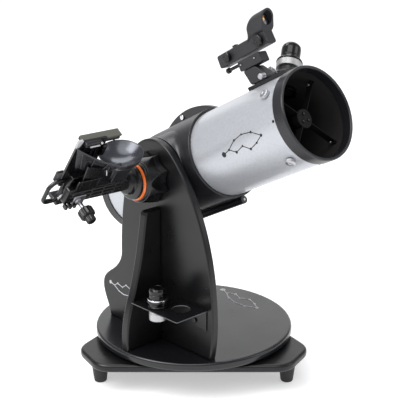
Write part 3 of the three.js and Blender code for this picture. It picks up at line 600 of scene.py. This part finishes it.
SADDLE_CENTRE = 15
SADDLE_LENGTH = 159
SADDLE_FROM = SADDLE_CENTRE - SADDLE_LENGTH / 2
SADDLE_TO = SADDLE_CENTRE + SADDLE_LENGTH / 2
TUBE_RADIUS = 81
BORE = TUBE_RADIUS + 0.3
SHELL = 86.4
HUB = 69
HUB_GAP = 2.2                       # from the arm to the hub
PARTING_X = 18.5
HINGE = (6.5, -92.6)
FLANGE_ARC = 150
FLANGE_PEAK = 107


def crescent(thickness):
    """The flange on top of the clamp, drawn with x along the tube and y up."""
    half = math.asin(SADDLE_LENGTH / 2 / FLANGE_ARC)
    path = [Vector((SADDLE_FROM + 1, 79)), Vector((SADDLE_TO - 1, 79))]
    path += arc(SADDLE_CENTRE, FLANGE_PEAK - FLANGE_ARC, FLANGE_ARC, QUARTER - half, QUARTER + half)
    return slab(path, thickness, 1.2, [circle(-3, 97, 3.6, 24)], 3)


def shell_sector(start, end):
    """Half of the clamp's ring, between two angles from +X."""
    steps = 64
    path = arc(0, 0, SHELL, start, end, steps) + arc(0, 0, BORE, end, start, steps)
    return put(slab(path, SADDLE_LENGTH, 1.3, steps=3), moved(TUBE_X, 0, SADDLE_FROM))


def flare():
    """The trumpet from the round hub on the arm to the shell round the tube."""
    sides = 96
    hub_x = ARM_INNER + HUB_GAP
    sections = []
    for k in range(17):
        u = k / 16
        section = []
        for i in range(sides):
            angle = 2 * math.pi * i / sides
            rise, run = math.cos(angle), math.sin(angle)
            root = Vector((hub_x, HUB * rise, HUB * run))
            reach_y, reach_z = 84.5 * rise, SADDLE_CENTRE * 0.9 + 78 * run
            shell_x = TUBE_X - math.sqrt(max(0.0, (SHELL - 0.6) ** 2 - reach_y ** 2))
            skirt = Vector((shell_x, reach_y, reach_z))
            waist = Vector((hub_x + 0.62 * (shell_x - hub_x), HUB * rise * 0.99, HUB * run))
            section.append(root * (1 - u) ** 2 + waist * 2 * u * (1 - u) + skirt * u * u)
        sections.append(section)
    return loft(sections, close_ends=False)


def hub_disc():
    hub_x = ARM_INNER + HUB_GAP
    return put(lathe([(0, hub_x), (HUB, hub_x), (HUB, hub_x + 1.4), (0, hub_x + 1.4)], 96, 0.5), ALONG_X)


parting = math.acos(PARTING_X / SHELL)
barrel = [(2.9, SADDLE_FROM), (7.5, SADDLE_FROM), (7.5, SADDLE_TO + 3), (2.9, SADDLE_TO + 3)]
side_slab = Matrix(((0, 0, -1, 0), (0, 1, 0, 0), (1, 0, 0, 0), (0, 0, 0, 1)))
refine("saddle", in_saddle, SADDLE,
       shell_sector(parting, 2 * math.pi - parting), flare(), hub_disc(),
       put(crescent(5), side_slab, moved(PARTING_X + TUBE_X)),
       put(lathe(barrel, 48, 1.0), moved(*HINGE)),
       block((HINGE[0] - 6, -91, SADDLE_FROM + 0.5), (HINGE[0] + 7.4, -80, SADDLE_TO - 0.5), 2))
refine("clamp_half", in_saddle, SADDLE,
       shell_sector(-parting + 0.004, parting - 0.004),
       put(crescent(5), side_slab, moved(PARTING_X + TUBE_X + 5.3)))
refine("clamp_bolt", in_saddle @ moved(PARTING_X + TUBE_X - 8.5, 97, -3) @ ALONG_X, CHROME,
       lathe([(0, 0.6), (2, 0), (4.6, 0.4), (5, 1.6), (5, 3.2), (3.1, 3.4), (3.1, 20), (0, 20)], 48, 0.4))
refine("clamp_pin", in_saddle @ moved(*HINGE), STEEL,
       lathe([(0, SADDLE_FROM), (2.5, SADDLE_FROM), (2.5, SADDLE_TO + 3.8), (1.8, SADDLE_TO + 4),
              (0, SADDLE_TO + 4)], 32, 0.3))

# ---------------------------------------------------------------- tube, front ring and rear cell

TUBE_WALL = 1.6
TUBE_FRONT = 334
TUBE_REAR = -201
BAND = 23
BAND_RADIUS = 82.8
SCREW_CIRCLE = 52                   # radius of the collimation screws
INNER = TUBE_RADIUS - TUBE_WALL
refine("tube", in_tube, SILVER,
       lathe([(INNER, TUBE_REAR + 5), (TUBE_RADIUS, TUBE_REAR + 5), (TUBE_RADIUS, TUBE_FRONT - 3),
              (INNER, TUBE_FRONT - 3)], 192, 0.2),
       inner=(INSIDE, lambda spot: math.hypot(spot.x, spot.y) < TUBE_RADIUS - 0.5))
front = TUBE_FRONT - BAND
refine("front_ring", in_tube, GREY,
       lathe([(BORE, front), (BAND_RADIUS - 0.4, front), (BAND_RADIUS, front + 0.8),
              (BAND_RADIUS, TUBE_FRONT - 3), (BAND_RADIUS - 0.5, TUBE_FRONT - 1),
              (BAND_RADIUS - 1.6, TUBE_FRONT), (80, TUBE_FRONT - 0.2), (79.2, TUBE_FRONT - 1.2),
              (78.2, TUBE_FRONT - 0.8), (77.4, TUBE_FRONT - 2), (77.2, front + 4), (INNER - 0.3, front + 4),
              (INNER - 0.3, TUBE_FRONT - 2.7), (BORE, TUBE_FRONT - 2.7)], 192, 0.4))
rear = TUBE_REAR
refine("rear_cell", in_tube, GREY,
       carve(lathe([(20, rear), (62, rear), (63, rear + 1.2), (70, rear + 1.2), (71, rear),
                    (BAND_RADIUS - 2, rear), (BAND_RADIUS, rear + 2), (BAND_RADIUS, rear + 20.4),
                    (BORE, rear + 21), (BORE, rear + 4.7), (20, rear + 4.7)], 192, 0.4),
             *[put(lathe([(0, rear - 2), (3.2, rear - 2), (3.2, rear + 9), (0, rear + 9)], 24, 0),
                   moved(y=SCREW_CIRCLE), turn) for turn in around(3)]))
for k, turn in enumerate(around(3)):
    collimator = in_tube @ turn @ moved(0, SCREW_CIRCLE, rear)
    refine(f"collimation_knob_{k + 1}", collimator, BLACK,
           lathe([(0, -13), (6.4, -13), (8, -11.4), (8, -3), (5, -0.3), (2.8, -0.3), (2.8, 11.6), (0, 11.6)],
                 72, 0.5, knurl(18, 0.05, high=-2)))

# ---------------------------------------------------------------- spider and secondary mirror

SPIDER_AT = 295
SPIDER_ROLL = math.radians(41)
VANE = 14
HUB_RADIUS = 17


def spider():
    half = VANE / 2
    hub = put(lathe([(0, -half), (HUB_RADIUS, -half), (HUB_RADIUS, half - 1), (HUB_RADIUS - 1.4, half),
                     (11.5, half), (11, half - 0.8), (5, half - 0.8), (4.4, half + 0.4), (0, half + 0.4)],
                    96, 0.4),
              moved(z=SPIDER_AT))
    vane = block((-0.6, 8, SPIDER_AT - half), (0.6, INNER - 0.6, SPIDER_AT + half), 0.3, 2)
    foot = block((-3, INNER - 4.4, SPIDER_AT - half + 2), (3, INNER - 1, SPIDER_AT + half - 2), 0.6, 2)
    turns = around(4, -SPIDER_ROLL)
    return (hub, *copies(vane, turns), *copies(foot, turns))


refine("spider", in_tube, MATT, *spider())
screw_head = lathe([(0, 0.9), (0.8, 0.2), (2, 1.4), (2.4, 0.8), (2.4, -1), (0, -1)], 32, 0.2)
piece("secondary_screws", "tube_assembly", "black_plastic", in_tube @ moved(z=SPIDER_AT + VANE / 2), BLACK,
      *copies(screw_head, [turn @ moved(y=8) for turn in around(3)]))
ring_screw = put(lathe([(0, 1.4), (2, 1), (2.4, 0), (2.4, -1), (0, -1)], 32, 0.3),
                 ALONG_Y, moved(y=TUBE_RADIUS, z=306))
piece("ring_screws", "tube_assembly", "black_plastic", in_tube, BLACK,
      *copies(ring_screw, around(4, math.radians(-4))))

nut = [(0, BORE + 0.2), (7.6, BORE + 0.2), (8.8, BORE + 1), (8.8, BORE + 5.4), (7.8, BORE + 6.6),
       (3.4, BORE + 7.4), (2.8, BORE + 6.2), (0, BORE + 6)]
for k in range(4):
    wall = on_wall(SPIDER_AT - 4, SPIDER_ROLL + k * QUARTER)
    refine(f"spider_nut_{k + 1}", wall, STEEL, lathe(nut, 144, 0.4, knurl(24, 0.04)))
    bolt = lathe([(0, INNER - 8), (2.6, INNER - 8), (3.4, INNER - 7), (3.4, INNER - 2), (0, INNER - 2)],
                 32, 0.3)
    piece(f"spider_bolt_{k + 1}", "tube_assembly", "steel", wall, STEEL, bolt)

# ---------------------------------------------------------------- focuser

FOCUSER_AT = 240
BASE_OUTER = 87.8
BASE_FROM = 213
BASE_TO = 307
AXLE = (23, 99)
LOCK_Z = 101
DRAWTUBE = 19.5
focuser = on_wall(FOCUSER_AT, FOCUSER_ROLL)


def base_plate():
    first, last = math.radians(-11), math.radians(78)
    path = (arc(0, 0, BASE_OUTER, QUARTER - first, QUARTER - last, 64)
            + arc(0, 0, BORE, QUARTER - last, QUARTER - first, 64))
    return put(slab(path, BASE_TO - BASE_FROM, 1.4, steps=4), moved(z=BASE_FROM))


def from_wall(shape, at, roll):
    turn = in_tube.inverted() @ on_wall(at, roll)
    return put(shape, turn)


boss = lathe([(20, 82), (31, 82), (30.4, 88), (29, 92), (26, 94.6), (25, 97), (24.6, 106.4), (23.4, 109),
              (19.9, 109)], 128, 1.0)
housing = block((-13, 20.4, 84), (13, 31, 107), 2.5, 4)
pocket = from_wall(lathe([(0, 60), (9.1, 60), (9.1, 100), (0, 100)], 48, 0), SPIDER_AT - 4, SPIDER_ROLL)
refine("focuser_base", in_tube, BLACK, carve(base_plate(), pocket),
       from_wall(boss, FOCUSER_AT, FOCUSER_ROLL), from_wall(housing, FOCUSER_AT, FOCUSER_ROLL))
refine("drawtube", focuser, BLACK,
       lathe([(16.5, 72), (DRAWTUBE, 72), (DRAWTUBE, 123.7), (16.5, 123.7)], 96, 0.4))
refine("drawtube_collar", focuser, BRUSHED,
       lathe([(16.2, 121), (22.2, 121), (23, 121.8), (23, 134), (22.6, 134.6), (16.2, 134.6)], 128, 0.4))
refine("eyepiece_clamp", focuser, GLOSS,
       lathe([(16.2, 134.9), (23.6, 134.9), (24, 135.6), (23.9, 137), (22.6, 139.4), (20, 141.4), (18.4, 142),
              (16.2, 142)], 128, 0.5))
refine("eyepiece", focuser, GLOSS,
       lathe([(13.5, 110), (15.8, 110), (15.8, 142.3), (17.3, 142.3), (17.4, 146), (16.9, 146.6),
              (16.9, 147.6), (17.6, 148.2), (17.8, 163), (17, 168.6), (14, 172.8), (8, 174.8), (7, 174),
              (0, 173), (0, 146), (13.5, 146)], 128, 0.8))
knob_side = [(0, 0), (2.5, 0), (2.5, 28), (7.4, 28.4), (9, 30), (9, 41), (8, 42.6), (5, 43), (4.4, 42.2),
             (0, 42.2)]
turned_knob = lathe(knob_side, 120, 0.4, knurl(24, 0.05, 30, 41))
axle = moved(0, *AXLE)
knob_pair = copies(turned_knob, [axle @ ALONG_X, axle @ Matrix.Rotation(math.pi, 4, "Z") @ ALONG_X])
refine("focus_knobs", focuser, STEEL, *knob_pair)
refine("drawtube_lock_screw", focuser @ moved(z=LOCK_Z) @ ALONG_X, STEEL,
       lathe([(0, -43), (4.8, -43), (5.6, -42), (5.6, -33.4), (3.6, -31), (3.4, -28), (2.2, -27.5),
              (2.2, -20.5), (0, -20.5)], 72, 0.4, knurl(18, 0.08, -42, -33)))

# ---------------------------------------------------------------- red dot finder

HALF_WIDTH = 11
HOOD_Y = 183
HOOD_RADIUS = 15
HOOD_BORE = 11.5


def side_slab_of(outline, from_x, to_x, edge):
    """Side profile with x along the tube and y outwards, between two X places."""
    return put(slab(outline, to_x - from_x, edge), moved(z=-to_x))


refine("finder_stalk", tube_side, SOOT,
       side_slab_of(fillet([(219, 88.2), (262, 88.2), (262, 92), (240, 117.2), (210, 117.2)], 5),
                    -11, 11, 1.5))
refine("finder_shoe", tube_side, SOOT,
       side_slab_of(fillet([(206, 117.5), (262, 117.5), (260, 136), (205, 136)], 3), -13, 8, 1.4))
refine("finder_tilt_screw", in_tube @ moved(y=132.5), BLACK,
       lathe([(0, 164), (4.4, 164), (5.1, 165), (5.1, 171), (3, 172), (3, 204.7), (0, 204.7)], 72, 0.3,
             knurl(16, 0.1, high=172)))
refine("bracket_screw", in_tube @ moved(0, 93, 257) @ ALONG_X, STEEL,
       lathe([(0, -25), (4.6, -25), (5.5, -24), (5.5, -14), (3.2, -12.4), (3, -11.4), (0, -11.4)], 72, 0.4,
             knurl(18, 0.08, high=-14)))


def finder_hood():
    """The hood's sections stand across the tube, lean with its front and narrow to the neck."""
    back = ([Vector((238, 160))] + bezier((238, 160), (249, 166), (250, 173), (253, 184), 16)
            + bezier((253, 184), (255, 193), (262, 198), (272, 198), 12) + [Vector((299, 198))])
    floor_from, floor_to = 238, 283
    sections = []
    for spot in back:
        share = (spot.x - 238) / (299 - 238)
        floor_at = floor_from + (floor_to - floor_from) * share
        height = spot.y - 158
        half = HALF_WIDTH + (HOOD_RADIUS - HALF_WIDTH) * min(1, height / 30)
        section = []
        for i in range(48):
            angle = 2 * math.pi * i / 48
            x = half * math.cos(angle)
            lift = 0.5 + 0.5 * math.sin(angle)
            if abs(math.cos(angle)) > 0.2:
                x = math.copysign(min(abs(x) * 1.12, half), x)
            section.append(Vector((x, 158 + height * lift, floor_at + (spot.x - floor_at) * lift)))
        sections.append(section)
    return loft(sections)


sight = put(lathe([(0, 200), (HOOD_BORE, 200), (HOOD_BORE, 340), (0, 340)], 96, 0), moved(y=HOOD_Y))
head = put(side_slab_of(fillet([(160, 139.5), (287, 141), (284, 168), (254, 164), (159.5, 163)], 4),
                        -HALF_WIDTH, HALF_WIDTH, 1.8), in_tube.inverted() @ tube_side)
refine("finder_body", in_tube, SOOT, head, carve(finder_hood(), sight))
# The amber spot at the window's upper left is a painted reflection on the coated glass; the rest stays dark
# glass.
refine("finder_lens", in_tube @ moved(0, HOOD_Y), NIGHT,
       lathe([(0, 283), (HOOD_BORE - 0.4, 283), (HOOD_BORE - 0.4, 284.6), (8, 285.4), (0, 286)], 64, 0.2),
       inner=(AMBER_REFLECTION, lambda spot: math.hypot(spot.x + 5, spot.y - 3) < 6.2))
for dial, radius, at in (("finder_dial_1", 10, 269), ("finder_dial_2", 8.7, 187)):
    refine(dial, in_tube @ moved(-HALF_WIDTH, 152.5, at) @ ALONG_X, BLACK,
           lathe([(0, -7.2), (2.6, -7.2), (3, -7.8), (radius - 1.2, -8), (radius, -7), (radius, -1.6),
                  (radius - 0.8, -0.4), (0, -0.4)], 120, 0.4, knurl(30, 0.02)))
refine("finder_switch", in_tube, BLACK, block((-4, 163.8, 197), (4, 168.5, 206), 1.2))
pan_head = lathe([(0, 0.4), (1, 0), (1.6, 1), (3, 0.6), (3.2, -0.4), (0, -0.4)], 40, 0.2)
piece("finder_shoe_screws", "tube_assembly", "black_plastic", in_tube, BLACK,
      *copies(pan_head, [moved(-13, 129.5, at) @ Matrix.Rotation(-QUARTER, 4, "Y") for at in (212, 247)]))
piece("finder_bolt_ends", "tube_assembly", "steel", in_tube, STEEL,
      *copies(lathe([(0, 1.7), (1.4, 1.7), (1.6, 1.2), (1.6, -0.4), (0, -0.4)], 24, 0.2),
              [moved(-13, 128.5, at) @ Matrix.Rotation(-QUARTER, 4, "Y") for at in (213, 248)]))

# ---------------------------------------------------------------- phone dock

PLATE_Z = 24
PLATE = 4
ARM_START = -159.8
BALL = 2.8


def dock_arm():
    bush = put(lathe([(0, -14), (17, -14), (20, -12.6), (22, -9.6), (22.4, -5), (23.4, -2.4), (31, -1),
                      (33, 0.4), (33, 4.6), (32, 5.4), (0, 5.4)], 96, 0.8),
               ALONG_X, moved(ARM_START))
    side = fillet([(-305, -24), (ARM_START - 8, -16), (ARM_START - 8, 16), (-305, 12)], 6)
    beam = put(slab(side, 12, 2), moved(z=-6))
    web = put(slab(fillet([(-292, -43), (-236, -43), (-216, -20), (-292, -20)], 4), 3, 0.8), moved(z=-6.5))
    ribs = [rod_between((-296, y, -6), (-184, 0.82 * y - 1, -6), 1.7) for y in (-15, -5, 5)]
    cross = [rod_between((x, -20, -6.2), (x + 3, 10, -6.2), 1.3) for x in (-252, -226, -200)]
    brace = thick_sheet([[(-280, -70, 4), (-280, -34, 0)], [(-255, -68, -2), (-250, -34, -4)],
                         [(-228, -60, -5), (-226, -30, -6)]], (0.6, 0, -2))
    gusset = [rod_between((x, -42, -5.5), (x, -24, -5.5), 1.3) for x in (-284, -266, -248)]
    teeth = [block((x, 10, -14), (x + 5.5, 18.5, -4), 1.4) for x in (-303, -294, -285)]
    return (bush, beam, web, brace, *ribs, *cross, *gusset, *teeth)


def phone_plate():
    back = -PLATE - 0.4
    outline = fillet([(-308, -120), (-247, -120), (-247, -8), (-308, -8)], 6)
    plate = put(slab(outline, PLATE, 1), moved(z=back))
    stiffeners = [block((x, -92, back - 1.6), (x + 2, -46, back + 1), 0.5) for x in (-288, -276, -264)]
    cover = fillet([(-297, -119), (-262, -119), (-262, -108), (-280, -110), (-297, -110)], 4)
    spring_cover = put(slab(cover, 9, 2.4), moved(z=back - 8))
    side_lug = block((-253, -102, back - 5), (-243.5, -78, back + 0.6), 1.6)
    carriage = block((-296, -40, -17.6), (-250, 4, -1), 2)
    caps = [rod_between((x, 4, -10), (x, 8, -10), 4) for x in (-290, -257)]
    loop = fillet([(-330, -14), (-318, -27), (-292, -27), (-288, 20), (-300, 33), (-322, 33), (-330, 24)],
                  8, steps=8)
    eye = fillet([(-323.5, -10), (-315, -20), (-300, -19), (-300, 14), (-306, 25), (-323.5, 22)], 5, steps=8)
    hook = put(slab(loop, 7, 2.8, [eye], 5), moved(z=-8))
    hook_web = block((-298, -6, -9), (-288, 20, -1), 2)
    ledge = block((-296, 34, -8), (-236, 42, 18), 1.6)
    link = block((-286, 0, -8), (-240, 42, -1), 1.4)
    clip = block((-318, -42, -1), (-303, -20, 5), 2.2)
    shapes = (*stiffeners, spring_cover, side_lug, carriage, *caps, hook, hook_web, ledge, link, clip)
    return plate, *shapes


BOWL_TILT = Matrix.Rotation(math.radians(18), 4, "X") @ Matrix.Rotation(math.radians(-13.2), 4, "Y")
bowl_axes = BOWL_TILT.to_3x3()
bowl_spot = middle("dock_mirror") + bowl_axes @ Vector((0, 0, 9.4 * MM))
bowl = Matrix.Translation(bowl_spot) @ BOWL_TILT @ Matrix.Scale(MM, 4)
dock_in_bowl = bowl.inverted() @ in_dock
RIM_ANGLE = math.radians(248)


def rim_point(angle, radius=38.8, height=1.2):
    """A place on the bowl's rim, in the dock's frame."""
    return dock_in_bowl.inverted() @ Vector((radius * math.cos(angle), radius * math.sin(angle), height))


def curve(start, pull_start, pull_end, end, u):
    return (start * (1 - u) ** 3 + pull_start * 3 * u * (1 - u) ** 2 + pull_end * 3 * u * u * (1 - u)
            + end * u ** 3)


rim_end = rim_point(RIM_ANGLE)
rim_tangent = (rim_point(RIM_ANGLE) - rim_point(RIM_ANGLE - 0.1)) * 10
TOP_EDGE = [Vector((-308, -106, 16.6)), Vector((-290, -96, 8)), rim_end - rim_tangent * 0.62, rim_end]
LOW_EDGE = [Vector((-293, -57, 17)), Vector((-276, -55, 6)), Vector((-255, -51, -3)),
            rim_end.lerp(Vector((-214, -56, -7)), 0.8)]


def wing():
    """Curved wing from the phone plate's back to the bowl's rim."""
    rows = []
    for k in range(15):
        u = k / 14
        top = curve(*TOP_EDGE, u)
        bottom = curve(*LOW_EDGE, u)
        dent = Vector((0.6, 0, 1.4)) * math.sin(math.pi * u)
        rows.append([top, top.lerp(bottom, 0.33) + dent, top.lerp(bottom, 0.66) + dent, bottom])
    return thick_sheet(rows, (1, 0, 2))


def wing_trim():
    """Rolled upper edge, and ribs across the wing's face."""
    points = [curve(*TOP_EDGE, k / 16) for k in range(17)]
    trim = [rod_between(a, b, 1.5, 12) for a, b in zip(points, points[1:])]
    for u in (0.16, 0.4, 0.64, 0.86):
        top = curve(*TOP_EDGE, u)
        bottom = curve(*LOW_EDGE, u)
        trim.append(rod_between(top.lerp(bottom, 0.06), top.lerp(bottom, 0.96), 1, 10))
    return trim


refine("dock_arm", in_dock, BLACK, *dock_arm())
# The plate's left side edge takes the lighter grey: painted highlight.
refine("phone_plate", in_dock @ moved(z=PLATE_Z), BLACK, *phone_plate(),
       inner=(RIM_HIGHLIGHT, lambda spot: spot.x < -306.5 and spot.y < -14 and -4.2 < spot.z < -0.6))
refine("upper_jaw", in_dock @ moved(z=PLATE_Z), BLACK,
       block((-280, -106, 0), (-250, -46, 2.5), 0.8), block((-290, -108, 0), (-213, -101, 18), 1.6),
       *[block((x, -101.4, 2), (x + 2.4, -95, 15), 0.8) for x in (-284, -252, -222)])
refine("jaw_pad", in_dock @ moved(z=PLATE_Z), PAD, block((-292, -112, 0), (-211, -108.3, 16), 1.2))
piece("jaw_spring_pin", "phone_carriage", "steel", in_dock, STEEL,
      rod_between((-266, -118, 10), (-264, -113, 19), 2.2),
      rod_between((-290, -114.5, 9.6), (-270, -114.5, 9.6), 1.6))
piece("dock_steel_parts", "tube_assembly", "steel", in_dock, STEEL,
      block((-288, -6, -9), (-263, 18, -6.6), 0.8),
      rod_between((-277, 5, -9), (-277, 5, -12), 7))
piece("dock_ball", "tube_assembly", "chrome", in_dock @ moved(-205, -65, -12), CHROME,
      lathe([(BALL * math.sin(math.pi * k / 16), -BALL * math.cos(math.pi * k / 16)) for k in range(17)],
            32, 0))
piece("dock_pin", "tube_assembly", "steel", in_dock, STEEL,
      rod_between((-241, -64, -3), (-241, -52, -10), 1.1))
corner = fillet([(-309, -121), (-298, -121), (-303, -104), (-309, -104)], 2.5)
piece("plate_corner_cap", "phone_carriage", "grey_plastic", in_dock @ moved(z=PLATE_Z), PALE,
      put(slab(corner, PLATE + 1, 0.8), moved(z=-PLATE - 1)))
piece("dock_clip_bar", "phone_carriage", "steel", in_dock, STEEL,
      rod_between((-300, 20, 14.4), (-288, 3, 14.4), 2))
piece("dock_bush_ring", "tube_assembly", "chrome", in_dock @ moved(ARM_START) @ ALONG_X, CHROME,
      lathe([(12, -0.1), (19.4, -0.1), (19.8, -0.6), (19.8, -2.2), (19.4, -2.8), (12, -2.8)], 96, 0.3))
refine("dock_knob", in_dock @ moved(-277, 5), BLACK,
       lathe([(0, -57), (7.6, -57), (8.8, -55.6), (8.8, -46), (12.8, -45.2), (14, -43.6), (14, -31.4),
              (12.6, -29.6),
              (5, -29), (5, -27), (0, -27)], 160, 0.5, knurl(12, 0.1, high=-29.5)))
piece("dock_knob_shaft", "dock_clamp", "steel", in_dock @ moved(-277, 5), STEEL,
      lathe([(0, -29), (4, -29), (4, -7.4), (0, -7.4)], 48, 0.3))

housing_mount = [wing(), block((-241.5, -72, -8), (-214, -58, -3), 1.5),
                 block((-215, -56, -6), (-180, -19.5, 6), 2)]


def dish(start, end, lift, steps=14):
    """The dish's inner curve between two radii."""
    radii = [start + (end - start) * k / steps for k in range(steps + 1)]
    return [(r, lift - 14 + 16 * (r / 38) ** 2.3) for r in radii]


refine("mirror_housing", bowl, GREY,
       lathe([(0, -22), (14, -21.6), (24, -18.6), (32, -12.6), (37, -4), (38.8, 0.8), (39.6, 1.8),
              (39.2, 2.8)] + dish(38, 0, 0), 160, 3),
       *[put(shape, dock_in_bowl) for shape in housing_mount],
       inner=(SMOKE, lambda spot: spot.xy.length < 37 and spot.z > 0.0075 * spot.xy.length_squared - 17))
refine("dock_mirror", bowl, SMOKE,
       lathe([(0, -13.95)] + dish(0, 27, 0.05) + dish(27, 0, 0.2), 128, 2))
# The wing's rolled edge and ribs, in the lighter grey: painted highlight.
piece("wing_trim_painted_highlight", "tube_assembly", "grey_plastic", bowl, TRIM_HIGHLIGHT,
      *[put(shape, dock_in_bowl) for shape in wing_trim()])

# ---------------------------------------------------------------- constellation motif

STARS = [(0, 0, 3.4), (11, 3, 1.5), (21, -3, 1.9), (34, 1, 1.4), (44, -6, 1.7), (57, -2, 1.4), (68, 4, 1.9),
         (24, 11, 1.5), (38, 14, 1.3), (54, 12, 1.6)]
LINKS = [(0, 1), (1, 2), (2, 3), (3, 4), (4, 5), (5, 6), (1, 7), (7, 8), (8, 9), (9, 6)]
RAISE = 0.15


def motif(spot_on, scale, line):
    """Star dots joined by thin lines; spot_on turns flat places into places on a surface."""
    shapes = []
    for x, y, radius in STARS:
        shapes.append(rod_between(spot_on(x * scale, y * scale, -RAISE), spot_on(x * scale, y * scale, RAISE),
                                  radius * scale, 24))
    for first, last in LINKS:
        a, b = Vector(STARS[first][:2]) * scale, Vector(STARS[last][:2]) * scale
        steps = [a.lerp(b, k / 4) for k in range(5)]
        for near, far in zip(steps, steps[1:]):
            shapes.append(rod_between(spot_on(near.x, near.y, 0), spot_on(far.x, far.y, 0), line, 8))
    return shapes


def on_tube(x, y, lift):
    angle = math.radians(-171) - y / TUBE_RADIUS
    radius = TUBE_RADIUS + lift
    return Vector((radius * math.cos(angle), radius * math.sin(angle), 172 + x))


INK = finish("printed_ink", (0.004, 0.004, 0.005), (0.4, 0.5), 0.05, 1500, 0.1)
WHITE_INK = finish("pale_ink", (0.5, 0.5, 0.52), (0.4, 0.5), 0.05, 1500, 0.06)
piece("tube_motif", "tube_assembly", "black_plastic", in_tube, INK, *motif(on_tube, 1.45, 0.7))
piece("turntable_motif", "rocker", "silver_paint", on_arm, WHITE_INK,
      *motif(lambda x, y, lift: Vector((154 - 0.1 * x - y, 72 - x, lift)), 1.75, 1.1))
piece("side_board_motif", "rocker", "silver_paint", arm_side, WHITE_INK,
      *motif(lambda x, y, lift: Vector((134 - x, 72 - y, lift)), 1.1, 0.9))

# ---------------------------------------------------------------- CAD nodes shown as they are

for skin, nodes in ((PTFE, ("glide_ring", "bearing_washer")),
                    (STEEL, ("pivot_bolt", "pivot_nut", "altitude_shaft")),
                    (BLACK, ("mirror_cell", "secondary_holder")),
                    (MIRROR, ("primary_mirror", "secondary_mirror"))):
    for node in nodes:
        mesh = frame["nodes"][node].data
        mesh.materials.clear()
        mesh.materials.append(skin)

# ---------------------------------------------------------------- studio

SETTING = finish("pale_floor", (0.7, 0.7, 0.705), (0.7, 0.8), 0.02, 40, 0.01,
                 Emission_Color=(1, 1, 1, 1), Emission_Strength=0.45, Specular_IOR_Level=0.1)
floor_shape = bmesh.new()
bmesh.ops.create_grid(floor_shape, x_segments=1, y_segments=1, size=30000)
floor_mesh = to_mesh("floor", [floor_shape])
floor_mesh.materials.append(SETTING)
floor_mesh.transform(place(Vector((AZIMUTH.x, AZIMUTH.y, 0)), X, Y, Z))
floor = bpy.data.objects.new("floor", floor_mesh)
bpy.context.scene.collection.objects.link(floor)

AIM = Vector((AZIMUTH.x + 0.0177, AZIMUTH.y + 0.0008, 0.3278))
VIEW_AZIMUTH = math.radians(-43.754)
VIEW_ELEVATION = math.radians(17.021)
DISTANCE = 1.8468


def direction(azimuth, elevation):
    """From the object towards a viewer; azimuth 0 is a viewer on the -Y side."""
    return Vector((math.sin(azimuth) * math.cos(elevation), -math.cos(azimuth) * math.cos(elevation),
                   math.sin(elevation)))


camera = bpy.data.objects.new("camera", bpy.data.cameras.new("camera"))
camera.data.lens = 85.43
camera.data.sensor_width = 36
camera.data.clip_end = 50
camera.location = AIM + direction(VIEW_AZIMUTH, VIEW_ELEVATION) * DISTANCE
camera.rotation_euler = (AIM - camera.location).to_track_quat("-Z", "Y").to_euler()
bpy.context.scene.collection.objects.link(camera)
bpy.context.scene.camera = camera


def softbox(name, azimuth, elevation, distance, size, watts):
    light = bpy.data.objects.new(name, bpy.data.lights.new(name, "AREA"))
    light.data.shape = "RECTANGLE"
    light.data.size, light.data.size_y = size
    light.data.energy = watts
    light.location = AIM + direction(math.radians(azimuth), math.radians(elevation)) * distance
    light.rotation_euler = (AIM - light.location).to_track_quat("-Z", "Y").to_euler()
    bpy.context.scene.collection.objects.link(light)


softbox("key", -105, 44, 2.4, (1.3, 1.5), 32)
softbox("fill", 40, 30, 2.8, (1.0, 2.0), 10)
softbox("crown", 155, 62, 2.3, (2.0, 1.0), 20)
softbox("back", 136, 19, 4.2, (5.0, 1.9), 26)

sun = bpy.data.objects.new("sun", bpy.data.lights.new("sun", "SUN"))
sun.data.energy = 1.75
sun.data.angle = math.radians(60)
sun.rotation_euler = direction(math.radians(-72), math.radians(57)).to_track_quat("Z", "Y").to_euler()
bpy.context.scene.collection.objects.link(sun)

world = bpy.data.worlds.new("studio")
world.use_nodes = True
world.node_tree.nodes["Background"].inputs["Color"].default_value = (0.96, 0.97, 1.0, 1)
world.node_tree.nodes["Background"].inputs["Strength"].default_value = 0.42
bpy.context.scene.world = world
bpy.context.scene.view_settings.view_transform = "Standard"
